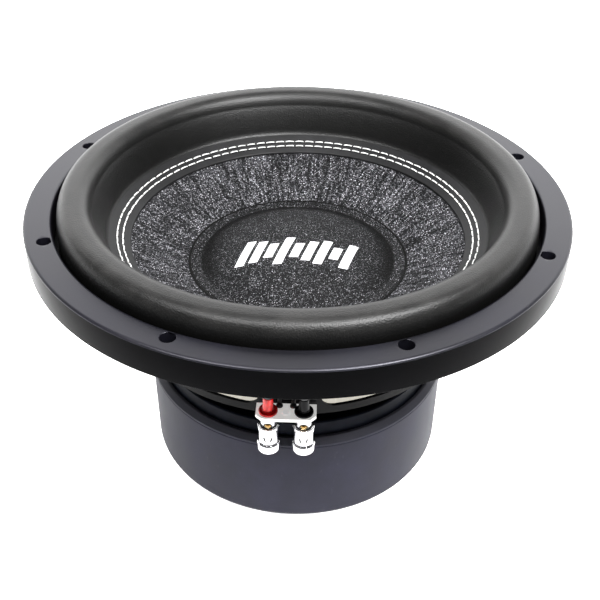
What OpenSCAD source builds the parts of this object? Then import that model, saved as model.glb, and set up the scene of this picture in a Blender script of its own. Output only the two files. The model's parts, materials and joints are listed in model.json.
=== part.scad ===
// Car subwoofer speaker: a twelve inch driver with a tall rubber surround, a stamped steel
// basket and a double magnet in a rubber boot.
// Millimetres. The origin is the centre of the boot's underside, +Z points out of the cone,
// and the terminals face -Y.

/* [Mounting ring] */
// Outer diameter of the ring and of the whole driver
ring_d = 320; // [260:1:400]
// Height of the ring's top face above the boot's underside
ring_top_z = 175; // [144:1:215]
// Width of the ring's flat top face
ring_face_w = 15.9; // [14:0.1:20]
// Height of the ring's outer wall
ring_h = 17.9; // [12:0.1:24]
// Thickness of the skirt round the steel flange
ring_skirt_t = 3; // [2:0.1:5]
// Bevel on the ring's top edges
ring_bevel = 0.8; // [0.3:0.1:1.5]
// Number of mounting holes
hole_count = 8; // [4:1:12]
// Distance from the ring's outer edge to a hole's centre
hole_edge = 10.5; // [8:0.1:12]
// Diameter of the holes in the rubber ring
ring_hole_d = 8.2; // [6:0.1:9]
// Diameter of the screw holes in the steel flange
flange_hole_d = 6; // [4:0.1:7]

/* [Basket] */
// Thickness of the steel sheet
sheet_t = 2; // [1.2:0.1:3]
// Number of spokes
spoke_count = 6; // [4:1:8]
// Width of a spoke
spoke_w = 35; // [20:1:42]
// Radius of the spider shelf's inner wall
shelf_r = 104; // [86:0.5:126]
// Width of the flat shelf that carries the spider
shelf_w = 10; // [7:0.5:14]
// Height of the shelf above the top plate
shelf_h = 24.2; // [18:0.1:32]
// Height above the shelf where the spokes start to flare
flare_h = 13.8; // [8:0.1:20]
// Radius of the flat base that is screwed to the top plate
base_r = 82; // [72:0.5:86]
// Radius of the hole in the base
base_hole_r = 44; // [40:0.5:50]
// Rounding of the window corners
window_round = 8; // [3:0.5:12]
// Height of the steel left above the windows
window_rim = 8; // [5:0.5:14]
// Height of the lip left below the windows
window_sill = 3; // [2:0.5:6]

/* [Motor] */
// Diameter of the rubber boot
boot_d = 190.6; // [186:0.1:210]
// Wall of the rubber boot
boot_wall = 5.1; // [3:0.1:7]
// Floor of the rubber boot
boot_floor = 3; // [2:0.1:5]
// Bevel on the boot's top edge
boot_bevel = 3.3; // [1:0.1:4.5]
// Rounding of the boot's bottom edge
boot_round = 4; // [1:0.1:5]
// How far the boot's rim laps up the side of the top plate
boot_lap = 2; // [0:0.1:5]
// Thickness of the back plate
back_plate_t = 12; // [8:0.5:18]
// Thickness of each of the two magnets
magnet_t = 24; // [18:0.5:30]
// Radius of the hole in the magnets
magnet_hole_r = 47.5; // [42:0.5:55]
// Thickness of the top plate
top_plate_t = 12; // [8:0.5:16]
// Bevel on the top plate's upper edge
top_plate_bevel = 0.8; // [0.3:0.1:2]
// Radius of the air vent through the pole
vent_r = 15; // [10:0.5:20]
// Height of the pole above the top plate
pole_rise = 3; // [1:0.5:6]

/* [Voice coil] */
// Inner radius of the coil former
former_r = 31.75; // [26:0.05:38.5]
// Wall of the coil former
former_t = 0.4; // [0.3:0.05:0.8]
// Height of the copper winding
winding_h = 44; // [30:1:52]
// Build-up of the winding on the former
winding_t = 1.85; // [1:0.05:2.5]
// Radial gap between the coil and the steel on each side
gap_clear = 0.65; // [0.4:0.05:1]

/* [Surround, cone and cap] */
// Width of the roll over its outer faces
roll_w = 21.8; // [16:0.1:30]
// Height of the roll's crest above the ring's top face
roll_rise = 10.8; // [4:0.1:18]
// Thickness of the surround's wall
roll_t = 1.8; // [1.2:0.1:2.5]
// Gap between the ring and the roll
roll_gap = 2.5; // [1.5:0.1:5]
// Run of the curve from the roll's inner wall to the stitched lip
toe_w = 6; // [4:0.1:8]
// Width of the stitched lip on the cone
lip_w = 12.9; // [9:0.1:18]
// Depth of the lip's inner edge below the ring's top face
lip_drop = 23.3; // [20:0.1:30]
// Thickness of the stitched lip
lip_t = 1.5; // [1:0.1:2.5]
// Distance of the outer stitch row from the lip's inner edge
stitch_outer_in = 7.7; // [5:0.1:9]
// Distance of the inner stitch row from the lip's inner edge
stitch_inner_in = 4.5; // [2:0.1:4.6]
// Number of stitches in a row
stitch_count = 100; // [60:1:120]
// Thickness of the cone's paper
cone_t = 1.8; // [1.2:0.1:2.5]
// Height of the cone's neck above the spider
neck_gap = 12.7; // [9:0.1:18]
// Diameter of the dust cap over its glued lip
cap_d = 132.2; // [90:0.1:140]
// Width of the dust cap's glued lip
cap_lip_w = 6.6; // [4:0.1:8]
// Height of the dome above its lip
cap_rise = 14.3; // [6:0.1:20]
// Thickness of the dust cap
cap_t = 1.4; // [1:0.1:2]

/* [Spider] */
// Thickness of the spider's cloth
spider_t = 0.8; // [0.5:0.1:1.2]
// Number of corrugations
spider_waves = 6; // [4:1:7]
// Height of a corrugation from its middle
spider_wave_h = 2.4; // [1.5:0.1:3]

/* [Terminals] */
// Distance between the two terminals
terminal_gap = 19.5; // [18:0.1:26]
// Distance from the basket's wall to the terminals
terminal_out = 7.5; // [7:0.1:12]
// Sideways place of the terminal board on its spoke
terminal_x = -1.6; // [-3:0.1:3]
// Height of the board's underside above the shelf
board_lift = 4.8; // [3:0.1:7]
// Width of the terminal board
board_w = 33; // [32:0.5:42]
// Thickness of the terminal board
board_t = 2; // [1.2:0.1:3]
// Diameter of a terminal's post
post_d = 8.7; // [7:0.1:10.5]
// Diameter of the wire hole through a post
wire_hole_d = 4.8; // [3:0.1:5]
// Wall of a terminal's sleeve round its post
sleeve_wall = 1.1; // [0.8:0.05:1.4]
// Wall of the grip round the sleeve's end
grip_wall = 0.65; // [0.4:0.05:1]

/* [Hidden] */
$fn = 96;
// Past a face, so that a cut leaves no skin
over = 1;
// Space between pieces that move past each other
run_clear = 0.3;

// Heights of the motor's stack
magnet_lower_z = boot_floor + back_plate_t;
magnet_upper_z = magnet_lower_z + magnet_t;
top_plate_z = magnet_upper_z + magnet_t;
base_z = top_plate_z + top_plate_t;
shelf_z = base_z + shelf_h;
spider_top_z = shelf_z + spider_t;
boot_top_z = top_plate_z + boot_lap;

// Radii of the motor
boot_r = boot_d / 2;
core_r = boot_r - boot_wall;
plate_slack = 0.5;
top_plate_r = core_r - plate_slack;
coil_r = former_r + former_t + winding_t;
pole_r = former_r - gap_clear;
gap_r = coil_r + gap_clear;
spigot_r = pole_r - 3;
winding_z = top_plate_z + top_plate_t / 2 - winding_h / 2;
former_tail = 0.5;
screw_circle_r = (base_hole_r + base_r) / 2 - 1;
screw_r = 2.5;
screw_hole_slack = 0.3;
screw_depth = 9;
screw_head_r = 4.5;
screw_head_h = 4;
screw_socket_r = 2.6;
screw_socket_h = 2.4;
screw_count = 6;
screen_seat = 1.5;
screen_seat_h = 1.2;
screen_t = 0.8;
screen_pitch = 2.6;
screen_wire = 0.7;
boot_vent_r = vent_r + 9;

// Radii and heights of the mounting ring and flange
ring_r = ring_d / 2;
ring_in_r = ring_r - ring_face_w;
ring_z = ring_top_z - ring_h;
flange_r = ring_r - ring_skirt_t;
flange_top_z = ring_z + sheet_t;
hole_circle_r = ring_r - hole_edge;
hole_turn = 180 / hole_count;

// The surround's roll and its foot
roll_out_r = ring_in_r - roll_gap;
roll_mid_r = roll_out_r - roll_w / 2;
roll_in_r = roll_out_r - roll_w;
roll_top_z = ring_top_z + roll_rise;
roll_base_z = flange_top_z + 4.1;
roll_power = 3.15;
roll_steps = 28;
foot_t = 1.6;
foot_r = ring_in_r + 0.8;
foot_slack = 0.2;
wall_top_r = roll_out_r - 3.6;

// The basket's wall flares from the shelf to the flange
flare_r = shelf_r + 0.6;
flare_z = shelf_z + flare_h;
flare_top_r = wall_top_r + 1.15 * sheet_t;

// The lip, the cone and the cap lie along one slope
lip_out_r = roll_in_r - toe_w;
lip_in_r = lip_out_r - lip_w;
lip_in_z = ring_top_z - lip_drop;
neck_r = former_r + former_t;
neck_z = spider_top_z + neck_gap;
cone_gap = 0.05;
cone_in_z = lip_in_z - lip_t - cone_gap;
slope = (cone_in_z - neck_z) / (lip_in_r - neck_r);
slope_a = atan(slope);
cone_edge = 1;
cap_r = cap_d / 2;
dome_r = cap_r - cap_lip_w;
cap_lip_slope = 0.17;
cap_seat = 0.05;
dome_steps = 20;
bead_r = 0.7;

// The spider's rims
shelf_in_r = shelf_r - shelf_w;
spider_out_r = shelf_r - 0.2;
spider_rim = shelf_w + 1.6;
spider_in_r = neck_r + run_clear;
spider_neck = 7;
wave_steps = 8;

// The terminals
wall_r = shelf_r + sheet_t;
board_z = shelf_z + board_lift;
board_top_z = board_z + board_t;
board_front = 6.1;
board_back_gap = 0.4;
board_corner = 3.4;
tongue_w = 8;
tongue_l = 4.4;
rivet_r = 1.5;
rivet_head_r = 2.3;
rivet_head_h = 0.8;
rivet_in = 3.2;
bush_flange_r = 5.3;
bush_flange_t = 1.5;
bush_boss_r = 2.95;
bush_boss_h = 9;
washer_t = 0.9;
washer_r = 4.7;
stud_r = 1.6;
stud_head_r = 2.5;
stud_head_h = 1;
boss_top_z = board_top_z + bush_flange_t + bush_boss_h;
stud_top_z = boss_top_z + stud_head_h;
stud_gap = 0.4;
terminal_r = max(wall_r + terminal_out, flare_out(stud_top_z) + bush_boss_r + stud_gap);
post_r = post_d / 2;
post_top_z = board_z - washer_t;
wire_hole_z = post_top_z - 4.6;
sleeve_top_z = post_top_z - 6.2;
sleeve_h = 18.6;
sleeve_bore_r = post_r + run_clear;
sleeve_r = sleeve_bore_r + sleeve_wall;
sleeve_base_z = sleeve_top_z - sleeve_h;
shoulder_h = 2;
shoulder_r = post_r - 0.95;
shoulder_z = sleeve_top_z - 4;
waist_r = shoulder_r - run_clear;
waist_top_z = shoulder_z + run_clear + 0.2;
post_end_z = sleeve_base_z + 5.6;
post_end_h = 1.2;
grip_r = sleeve_r + grip_wall;
grip_h = 6.6;
grip_round = 1.6;
grip_floor = 1.5;
spring_wire_r = 0.32;
spring_turns = 5;
spring_ring_steps = 12;
spring_sides = 6;
spring_r = (sleeve_bore_r + waist_r) / 2;

// The lead's window in the front spoke
lead_window_w = 21;
lead_window_h = 8;
lead_window_z = board_top_z + 1.6;
lead_window_round = 2;

// The tinsel leads
lead_r = 1.2;
lead_sides = 8;
joint_r = 2;
joint_h = 2.1;
joint_x = 3.8;
joint_y = -wall_r - 3;
eyelet_at_r = 51;
eyelet_x = 8;
eyelet_r = 1.7;
eyelet_h = 2.4;
eyelet_sink = 0.3;
LEAD_ROUTE = [
    [3.8, -108.7, 108], [4.1, -106.8, 110.2], [4.9, -103.6, 111.4], [5.8, -99.8, 111.7],
    [6.6, -95, 111.0], [7.2, -89, 109.6], [7.6, -83, 108.4], [7.9, -77, 107.8],
    [8, -71, 108.2], [8, -65, 109.8], [8, -59.5, 112.2], [8, -54.6, 115.2], [8, -51.9, 117.0]
];

// Top surface of the stitched lip at radius r
function lip_z(r) = lip_in_z + (r - lip_in_r) * slope;

// Top surface of the cone at radius r
function cone_z(r) = cone_in_z + (r - lip_in_r) * slope;

// Outer radius of the basket's flaring wall at height z
function flare_out(z) =
    flare_r + sheet_t + (flare_top_r - flare_r - sheet_t) * (z - flare_z) / (ring_z - flare_z);

// Rounds every corner of a convex outline by radius r
function corner(p0, p1, p2, r, n) =
    let (
        u = (p0 - p1) / norm(p0 - p1),
        v = (p2 - p1) / norm(p2 - p1),
        half = acos(u * v) / 2,
        c = p1 + (u + v) / norm(u + v) * r / sin(half),
        s = p1 + u * r / tan(half) - c,
        e = p1 + v * r / tan(half) - c,
        a0 = atan2(s[1], s[0]),
        turn = (atan2(e[1], e[0]) - a0 + 540) % 360 - 180
    )
    [for (i = [0:n]) c + r * [cos(a0 + turn * i / n), sin(a0 + turn * i / n)]];

function rounded(pts, r, n = 6) =
    let (m = len(pts))
    [for (i = [0:m - 1]) each corner(pts[(i + m - 1) % m], pts[i], pts[(i + 1) % m], r, n)];

// Half of a squared-off ellipse, from its outer side over the crest to its inner side
function roll_arc(half_w, h, steps) = [
    for (i = [0:steps])
        let (a = 180 * i / steps, c = cos(a), s = sin(a))
        [roll_mid_r + half_w * sign(c) * pow(abs(c), 2 / roll_power),
         roll_base_z + h * pow(abs(s), 2 / roll_power)]
];

// A curve from p0 to p2 that is pulled towards p1
function bend(p0, p1, p2, n) = [
    for (i = [1:n]) let (t = i / n) (1 - t) * (1 - t) * p0 + 2 * t * (1 - t) * p1 + t * t * p2
];

// Half the width of a window at radius r
function window_half(r) = r * sin(180 / spoke_count - asin(spoke_w / 2 / r));

// A ring of points round a route at step i, square to the route
function tube_ring(path, i, r, sides) =
    let (
        a = path[max(i - 1, 0)],
        b = path[min(i + 1, len(path) - 1)],
        d = (b - a) / norm(b - a),
        side = cross(d, [0.31, 0.17, 0.93]),
        u = side / norm(side),
        v = cross(d, u)
    )
    [for (k = [0:sides - 1]) path[i] + r * (cos(360 * k / sides) * u + sin(360 * k / sides) * v)];

// A closed round tube along a list of points
module tube(path, r, sides) {
    n = len(path);
    pts = [for (i = [0:n - 1]) each tube_ring(path, i, r, sides)];
    quads = [
        for (i = [0:n - 2], k = [0:sides - 1])
            [i * sides + k, i * sides + (k + 1) % sides,
             (i + 1) * sides + (k + 1) % sides, (i + 1) * sides + k]
    ];
    ends = [
        [for (k = [sides - 1:-1:0]) k],
        [for (k = [0:sides - 1]) (n - 1) * sides + k]
    ];
    polyhedron(points = pts, faces = [for (f = concat(quads, ends)) [for (j = [len(f) - 1:-1:0]) f[j]]]);
}

module ring(r_out, r_in, z, h) {
    rotate_extrude()
        translate([r_in, z])
            square([r_out - r_in, h]);
}

module around(count, turn = 0) {
    for (i = [0:count - 1])
        rotate([0, 0, turn + i * 360 / count])
            children();
}

// Places its children at one of the two terminals: -1 is the red one, 1 is the black one
module at_terminal(side) {
    translate([terminal_x + side * terminal_gap / 2, -terminal_r, 0])
        children();
}

// Section of the pressed steel shell: flange, spoke wall, spider shelf, cup and base
module basket_section() {
    flare_in = [flare_r, flare_z];
    cup_in_r = shelf_in_r - sheet_t;
    polygon([
        [flange_r, ring_z], [flange_r, flange_top_z], [wall_top_r, flange_top_z],
        flare_in, [shelf_r, shelf_z], [shelf_in_r, shelf_z],
        [base_r - sheet_t, base_z + sheet_t], [base_hole_r, base_z + sheet_t],
        [base_hole_r, base_z], [base_r, base_z], [base_r + 0.4, base_z + sheet_t],
        [cup_in_r + 2 * sheet_t, shelf_z - sheet_t], [wall_r, shelf_z - sheet_t],
        flare_in + [sheet_t, 0], [flare_top_r, ring_z]
    ]);
}

module window_outline() {
    low_z = shelf_z + window_sill;
    top_z = ring_z - window_rim;
    rise = (top_z - flare_z) / (flange_top_z - flare_z);
    low_w = window_half(wall_r);
    top_w = window_half(wall_r + (wall_top_r - shelf_r) * rise);
    polygon(rounded([
        [-low_w, low_z], [low_w, low_z], [low_w + 0.5, flare_z],
        [top_w, top_z], [-top_w, top_z], [-low_w - 0.5, flare_z]
    ], window_round));
}

module basket() {
    color([0.05, 0.05, 0.055]) {
        difference() {
            rotate_extrude()
                basket_section();
            // Windows between the spokes, with one spoke at -Y
            around(spoke_count, 180 / spoke_count - 90)
                translate([base_r + sheet_t, 0, 0])
                    rotate([90, 0, 90])
                        linear_extrude(height = flange_r)
                            window_outline();
            // Screw holes in the flange
            around(hole_count, hole_turn)
                translate([hole_circle_r, 0, ring_z - over])
                    cylinder(h = sheet_t + 2 * over, d = flange_hole_d);
            // Screw holes in the base
            around(screw_count, 0)
                translate([screw_circle_r, 0, base_z - over])
                    cylinder(h = sheet_t + 2 * over, r = screw_r + screw_hole_slack);
            // Way through the front spoke for the two leads
            translate([terminal_x, -shelf_in_r, 0])
                rotate([90, 0, 0])
                    linear_extrude(height = 2 * shelf_w)
                        polygon(rounded([
                            [-lead_window_w / 2, lead_window_z],
                            [lead_window_w / 2, lead_window_z],
                            [lead_window_w / 2, lead_window_z + lead_window_h],
                            [-lead_window_w / 2, lead_window_z + lead_window_h]
                        ], lead_window_round));
        }
        // Tongue that carries the terminal board
        difference() {
            translate([terminal_x - tongue_w / 2, -terminal_r - tongue_l, board_z - sheet_t])
                cube([tongue_w, terminal_r + tongue_l - wall_r + sheet_t / 4, sheet_t]);
            translate([terminal_x, -terminal_r - tongue_l + rivet_in, board_z - sheet_t - over])
                cylinder(h = sheet_t + 2 * over, r = rivet_r);
        }
    }
}

module trim_ring() {
    color([0.07, 0.075, 0.085])
        difference() {
            rotate_extrude()
                polygon([
                    [ring_r, ring_z], [ring_r, ring_top_z - ring_bevel],
                    [ring_r - ring_bevel, ring_top_z], [ring_in_r + ring_bevel, ring_top_z],
                    [ring_in_r, ring_top_z - ring_bevel],
                    [ring_in_r, flange_top_z + foot_t + foot_slack],
                    [foot_r + foot_slack, flange_top_z + foot_t + foot_slack],
                    [foot_r + foot_slack, flange_top_z], [flange_r, flange_top_z],
                    [flange_r, ring_z]
                ]);
            around(hole_count, hole_turn)
                translate([hole_circle_r, 0, ring_z - over])
                    cylinder(h = ring_h + 2 * over, d = ring_hole_d);
        }
}

module surround() {
    crest = roll_top_z - roll_base_z;
    half = roll_w / 2;
    toe_r = lip_out_r + run_clear;
    toe_z = roll_base_z + 1.5;
    outer = roll_arc(half, crest, roll_steps);
    inner = roll_arc(half - roll_t, crest - roll_t, roll_steps);
    toe_top = bend([roll_in_r, toe_z], [roll_in_r, lip_z(roll_in_r)], [toe_r, lip_z(toe_r)], 6);
    toe_low = bend([roll_in_r + roll_t, toe_z], [roll_in_r + roll_t, lip_z(roll_in_r) - roll_t / 2],
                   [toe_r, lip_z(toe_r) - roll_t], 6);
    color([0.06, 0.06, 0.065])
        rotate_extrude()
            polygon(concat(
                [[foot_r, flange_top_z], [foot_r, flange_top_z + foot_t],
                 [roll_out_r, flange_top_z + foot_t]],
                outer, toe_top,
                [for (i = [len(toe_low) - 1:-1:0]) toe_low[i]],
                [for (i = [roll_steps:-1:0]) inner[i]],
                [[roll_out_r - roll_t, flange_top_z]]
            ));
}

module spider() {
    flat_out = spider_out_r - spider_rim;
    flat_in = spider_in_r + spider_neck;
    n = spider_waves * wave_steps;
    mid_z = spider_top_z;
    waves = [
        for (i = [0:n])
            [flat_in + (flat_out - flat_in) * i / n,
             mid_z + spider_wave_h * sin(360 * spider_waves * i / n)]
    ];
    color([0.86, 0.82, 0.68])
        rotate_extrude()
            polygon(concat(
                [[spider_in_r, mid_z]], waves, [[spider_out_r, mid_z], [spider_out_r, shelf_z]],
                [for (i = [n:-1:0]) waves[i] - [0, spider_t]],
                [[spider_in_r, shelf_z]]
            ));
}

module top_plate() {
    color([0.09, 0.09, 0.095])
        difference() {
            rotate_extrude()
                polygon([
                    [gap_r, top_plate_z], [top_plate_r, top_plate_z],
                    [top_plate_r, base_z - top_plate_bevel],
                    [top_plate_r - top_plate_bevel, base_z], [gap_r, base_z]
                ]);
            around(screw_count)
                translate([screw_circle_r, 0, base_z - screw_depth])
                    cylinder(h = screw_depth + over, r = screw_r);
        }
}

module magnet(z) {
    color([0.16, 0.16, 0.17])
        ring(core_r, magnet_hole_r, z, magnet_t);
}

module back_plate() {
    color([0.45, 0.45, 0.47])
        ring(core_r, spigot_r, boot_floor, back_plate_t);
}

module pole_piece() {
    color([0.5, 0.5, 0.52])
        rotate_extrude()
            polygon([
                [vent_r + screen_seat, boot_floor], [spigot_r, boot_floor],
                [spigot_r, magnet_lower_z], [pole_r, magnet_lower_z],
                [pole_r, base_z + pole_rise - 1], [pole_r - 1, base_z + pole_rise],
                [vent_r + 1, base_z + pole_rise], [vent_r, base_z + pole_rise - 1],
                [vent_r, boot_floor + screen_seat_h],
                [vent_r + screen_seat, boot_floor + screen_seat_h]
            ]);
}

// Woven wire screen over the vent, held by a rim
module vent_screen() {
    screen_r = vent_r + screen_seat;
    bars = floor(vent_r / screen_pitch);
    z = boot_floor + screen_seat_h - screen_t;
    color([0.3, 0.3, 0.32]) {
        ring(screen_r, vent_r - 0.2, z, screen_t);
        intersection() {
            translate([0, 0, z])
                cylinder(h = screen_t, r = vent_r);
            for (i = [-bars:bars], turn = [0, 90])
                rotate([0, 0, turn])
                    translate([i * screen_pitch - screen_wire / 2, -vent_r, z])
                        cube([screen_wire, 2 * vent_r, screen_t]);
        }
    }
}

module magnet_boot() {
    arc = [for (i = [0:6]) boot_round * [sin(15 * i), -cos(15 * i)]];
    color([0.08, 0.08, 0.085])
        rotate_extrude()
            polygon(concat(
                [[boot_vent_r, 0]],
                [for (p = arc) [boot_r - boot_round, boot_round] + p],
                [[boot_r, boot_top_z - boot_bevel], [boot_r - boot_bevel, boot_top_z],
                 [core_r, boot_top_z], [core_r, boot_floor], [boot_vent_r, boot_floor]]
            ));
}

module basket_screws() {
    color([0.6, 0.6, 0.62])
        around(screw_count)
            translate([screw_circle_r, 0, base_z + sheet_t])
                difference() {
                    union() {
                        cylinder(h = screw_head_h, r = screw_head_r);
                        translate([0, 0, -sheet_t - screw_depth + 1])
                            cylinder(h = sheet_t + screw_depth - 1, r = screw_r);
                    }
                    translate([0, 0, screw_head_h - screw_socket_h])
                        cylinder(h = screw_socket_h + over, r = screw_socket_r, $fn = 6);
                }
}

module terminal_board() {
    back = -flare_r - sheet_t - board_back_gap;
    front = -terminal_r - board_front;
    half = board_w / 2;
    color([0.9, 0.9, 0.87])
        translate([terminal_x, 0, board_z])
            difference() {
                linear_extrude(height = board_t)
                    polygon([
                        [-half, back], [-half, front + board_corner],
                        [-half + board_corner, front], [half - board_corner, front],
                        [half, front + board_corner], [half, back]
                    ]);
                for (side = [-1, 1])
                    translate([side * terminal_gap / 2, -terminal_r, -over])
                        cylinder(h = board_t + 2 * over, r = stud_r);
                translate([0, -terminal_r - tongue_l + rivet_in, -over])
                    cylinder(h = board_t + 2 * over, r = rivet_r);
            }
}

module board_rivets() {
    color([0.75, 0.75, 0.77])
        translate([terminal_x, -terminal_r - tongue_l + rivet_in, 0]) {
            translate([0, 0, board_z - sheet_t])
                cylinder(h = sheet_t + board_t, r = rivet_r);
            translate([0, 0, board_top_z])
                cylinder(h = rivet_head_h, r1 = rivet_head_r, r2 = rivet_head_r - 0.5);
            translate([0, 0, board_z - sheet_t - rivet_head_h])
                cylinder(h = rivet_head_h, r1 = rivet_head_r - 0.5, r2 = rivet_head_r);
        }
}

// Flanged insulator on top of the board and the washer under it
module bushing(side) {
    at_terminal(side)
        difference() {
            union() {
                translate([0, 0, board_top_z])
                    cylinder(h = bush_flange_t, r = bush_flange_r);
                translate([0, 0, board_top_z])
                    cylinder(h = bush_flange_t + bush_boss_h, r = bush_boss_r);
                translate([0, 0, board_z - washer_t])
                    cylinder(h = washer_t, r = washer_r);
            }
            translate([0, 0, board_z - 2 * washer_t])
                cylinder(h = 2 * bush_boss_h + board_t, r = stud_r);
        }
}

module terminal_post(side) {
    at_terminal(side)
        difference() {
            union() {
                translate([0, 0, waist_top_z])
                    cylinder(h = post_top_z - waist_top_z, r = post_r);
                translate([0, 0, post_end_z])
                    cylinder(h = waist_top_z - post_end_z, r = waist_r);
                translate([0, 0, post_end_z])
                    cylinder(h = post_end_h, r = post_r);
                translate([0, 0, post_top_z - over])
                    cylinder(h = boss_top_z - post_top_z + over, r = stud_r);
                translate([0, 0, boss_top_z])
                    cylinder(h = stud_head_h, r = stud_head_r);
            }
            translate([0, post_d, wire_hole_z])
                rotate([90, 0, 0])
                    cylinder(h = 2 * post_d, d = wire_hole_d);
        }
}

module terminal_posts() {
    color([0.86, 0.86, 0.88])
        for (side = [-1, 1])
            terminal_post(side);
}

// Chrome sleeve with an inner shoulder that the spring lifts
module sleeve(side) {
    color([0.88, 0.88, 0.9])
        at_terminal(side)
            rotate_extrude()
                polygon([
                    [sleeve_bore_r, sleeve_top_z], [sleeve_bore_r, shoulder_z],
                    [shoulder_r, shoulder_z], [shoulder_r, shoulder_z - shoulder_h],
                    [sleeve_bore_r, shoulder_z - shoulder_h], [sleeve_bore_r, sleeve_base_z + grip_floor],
                    [sleeve_r, sleeve_base_z + grip_floor], [sleeve_r, sleeve_top_z - 0.4],
                    [sleeve_r - 0.4, sleeve_top_z]
                ]);
}

// Grip pressed over the sleeve's lower end
module grip(side) {
    arc = [for (i = [0:4]) grip_round * [sin(22.5 * i), -cos(22.5 * i)]];
    color([0.9, 0.9, 0.92])
        at_terminal(side)
            rotate_extrude()
                polygon(concat(
                    [[0, sleeve_base_z]],
                    [for (p = arc) [grip_r - grip_round, sleeve_base_z + grip_round] + p],
                    [[grip_r, sleeve_base_z + grip_h - 0.6], [sleeve_r + 0.2, sleeve_base_z + grip_h],
                     [sleeve_r, sleeve_base_z + grip_h], [sleeve_r, sleeve_base_z + grip_floor],
                     [0, sleeve_base_z + grip_floor]]
                ));
}

// Compression spring between the post's end and the sleeve's shoulder
module spring(side) {
    low = post_end_z + post_end_h + spring_wire_r + 0.05;
    high = shoulder_z - shoulder_h - spring_wire_r - 0.05;
    steps = spring_turns * spring_ring_steps;
    color([0.7, 0.7, 0.72])
        at_terminal(side)
            tube([
                for (i = [0:steps])
                    [spring_r * cos(360 * i / spring_ring_steps),
                     spring_r * sin(360 * i / spring_ring_steps),
                     low + (high - low) * i / steps]
            ], spring_wire_r, spring_sides);
}

module solder_joints() {
    dome = [for (i = [0:6]) [joint_r * cos(15 * i), joint_h * sin(15 * i)]];
    color([0.12, 0.12, 0.13])
        for (side = [-1, 1])
            translate([terminal_x + side * joint_x, joint_y, board_top_z])
                rotate_extrude()
                    polygon(concat([[0, 0]], dome));
}

module lead(side) {
    tube([for (p = LEAD_ROUTE) [terminal_x + side * p[0], p[1], p[2]]], lead_r, lead_sides);
}

module lead_eyelets() {
    under = cone_z(eyelet_at_r) - cone_t / cos(slope_a);
    spot = [eyelet_x, -sqrt(eyelet_at_r * eyelet_at_r - eyelet_x * eyelet_x), under];
    color([0.75, 0.6, 0.3])
        for (side = [-1, 1])
            translate([terminal_x + side * spot[0], spot[1], spot[2]])
                rotate([-slope_a, 0, 0])
                    translate([0, 0, -eyelet_h + eyelet_sink])
                        cylinder(h = eyelet_h, r = eyelet_r);
}

module cone() {
    edge_r = lip_out_r - cone_edge;
    drop = cone_t / cos(slope_a);
    color([0.13, 0.13, 0.14])
        rotate_extrude()
            polygon([
                [neck_r, cone_z(neck_r)], [edge_r, cone_z(edge_r)],
                [edge_r + 0.6, cone_z(edge_r) - drop / 2], [edge_r, cone_z(edge_r) - drop],
                [neck_r + 3, cone_z(neck_r + 3) - drop], [neck_r + 0.8, cone_z(neck_r) - drop - 1.5],
                [neck_r, cone_z(neck_r) - drop - 1.5]
            ]);
}

module surround_lip() {
    color([0.1, 0.1, 0.105])
        rotate_extrude()
            polygon([
                [lip_in_r, lip_z(lip_in_r) - lip_t], [lip_in_r, lip_z(lip_in_r) - 0.3],
                [lip_in_r + 0.4, lip_z(lip_in_r + 0.4)], [lip_out_r, lip_z(lip_out_r)],
                [lip_out_r, lip_z(lip_out_r) - lip_t]
            ]);
}

module stitch_row(r) {
    pitch = 360 / stitch_count;
    long = 2 * PI * r / stitch_count * 0.82;
    wide = 0.9;
    high = 0.7;
    sink = 0.25;
    color([0.9, 0.9, 0.88])
        for (i = [0:stitch_count - 1])
            rotate([0, 0, (i + 0.5) * pitch])
                translate([r, 0, lip_z(r)])
                    rotate([0, -slope_a, 0])
                        translate([-wide / 2, -long / 2, -sink])
                            cube([wide, long, high]);
}

module dust_cap() {
    lip_z0 = cone_z(cap_r) + cap_seat + cap_t;
    foot_z = lip_z0 - cap_lip_w * cap_lip_slope;
    ball = (dome_r * dome_r + cap_rise * cap_rise) / (2 * cap_rise);
    spread = asin(dome_r / ball);
    dome = [
        for (i = [0:dome_steps])
            let (a = spread * (1 - i / dome_steps))
            [ball * sin(a), foot_z + cap_rise - ball * (1 - cos(a))]
    ];
    hollow = [
        for (i = [0:dome_steps])
            let (a = spread * i / dome_steps)
            [(ball - cap_t) * sin(a), foot_z + cap_rise - cap_t - (ball - cap_t) * (1 - cos(a))]
    ];
    color([0.12, 0.12, 0.13])
        rotate_extrude()
            polygon(concat(
                [[cap_r, lip_z0 - cap_t], [cap_r, lip_z0 - 0.3], [cap_r - 0.4, lip_z0]],
                dome, hollow,
                [[dome_r, foot_z - cap_t], [cap_r - 1.5, cone_z(cap_r) + cap_seat - 0.26]]
            ));
}

module cap_glue_bead() {
    r = cap_r + bead_r + 0.1;
    color([0.03, 0.03, 0.03])
        rotate_extrude()
            polygon([
                [r - bead_r, cone_z(r - bead_r)], [r - bead_r, cone_z(r - bead_r) + 1.4 * bead_r],
                [r, cone_z(r) + bead_r], [r + bead_r, cone_z(r + bead_r) + bead_r / 2],
                [r + 1.4 * bead_r, cone_z(r + 1.4 * bead_r)]
            ]);
}

module coil_former() {
    color([0.8, 0.6, 0.3])
        ring(neck_r, former_r, winding_z - former_tail, cone_z(neck_r) + 1 - winding_z + former_tail);
}

module coil_winding() {
    color([0.72, 0.4, 0.2])
        ring(coil_r, neck_r, winding_z, winding_h);
}

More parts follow.
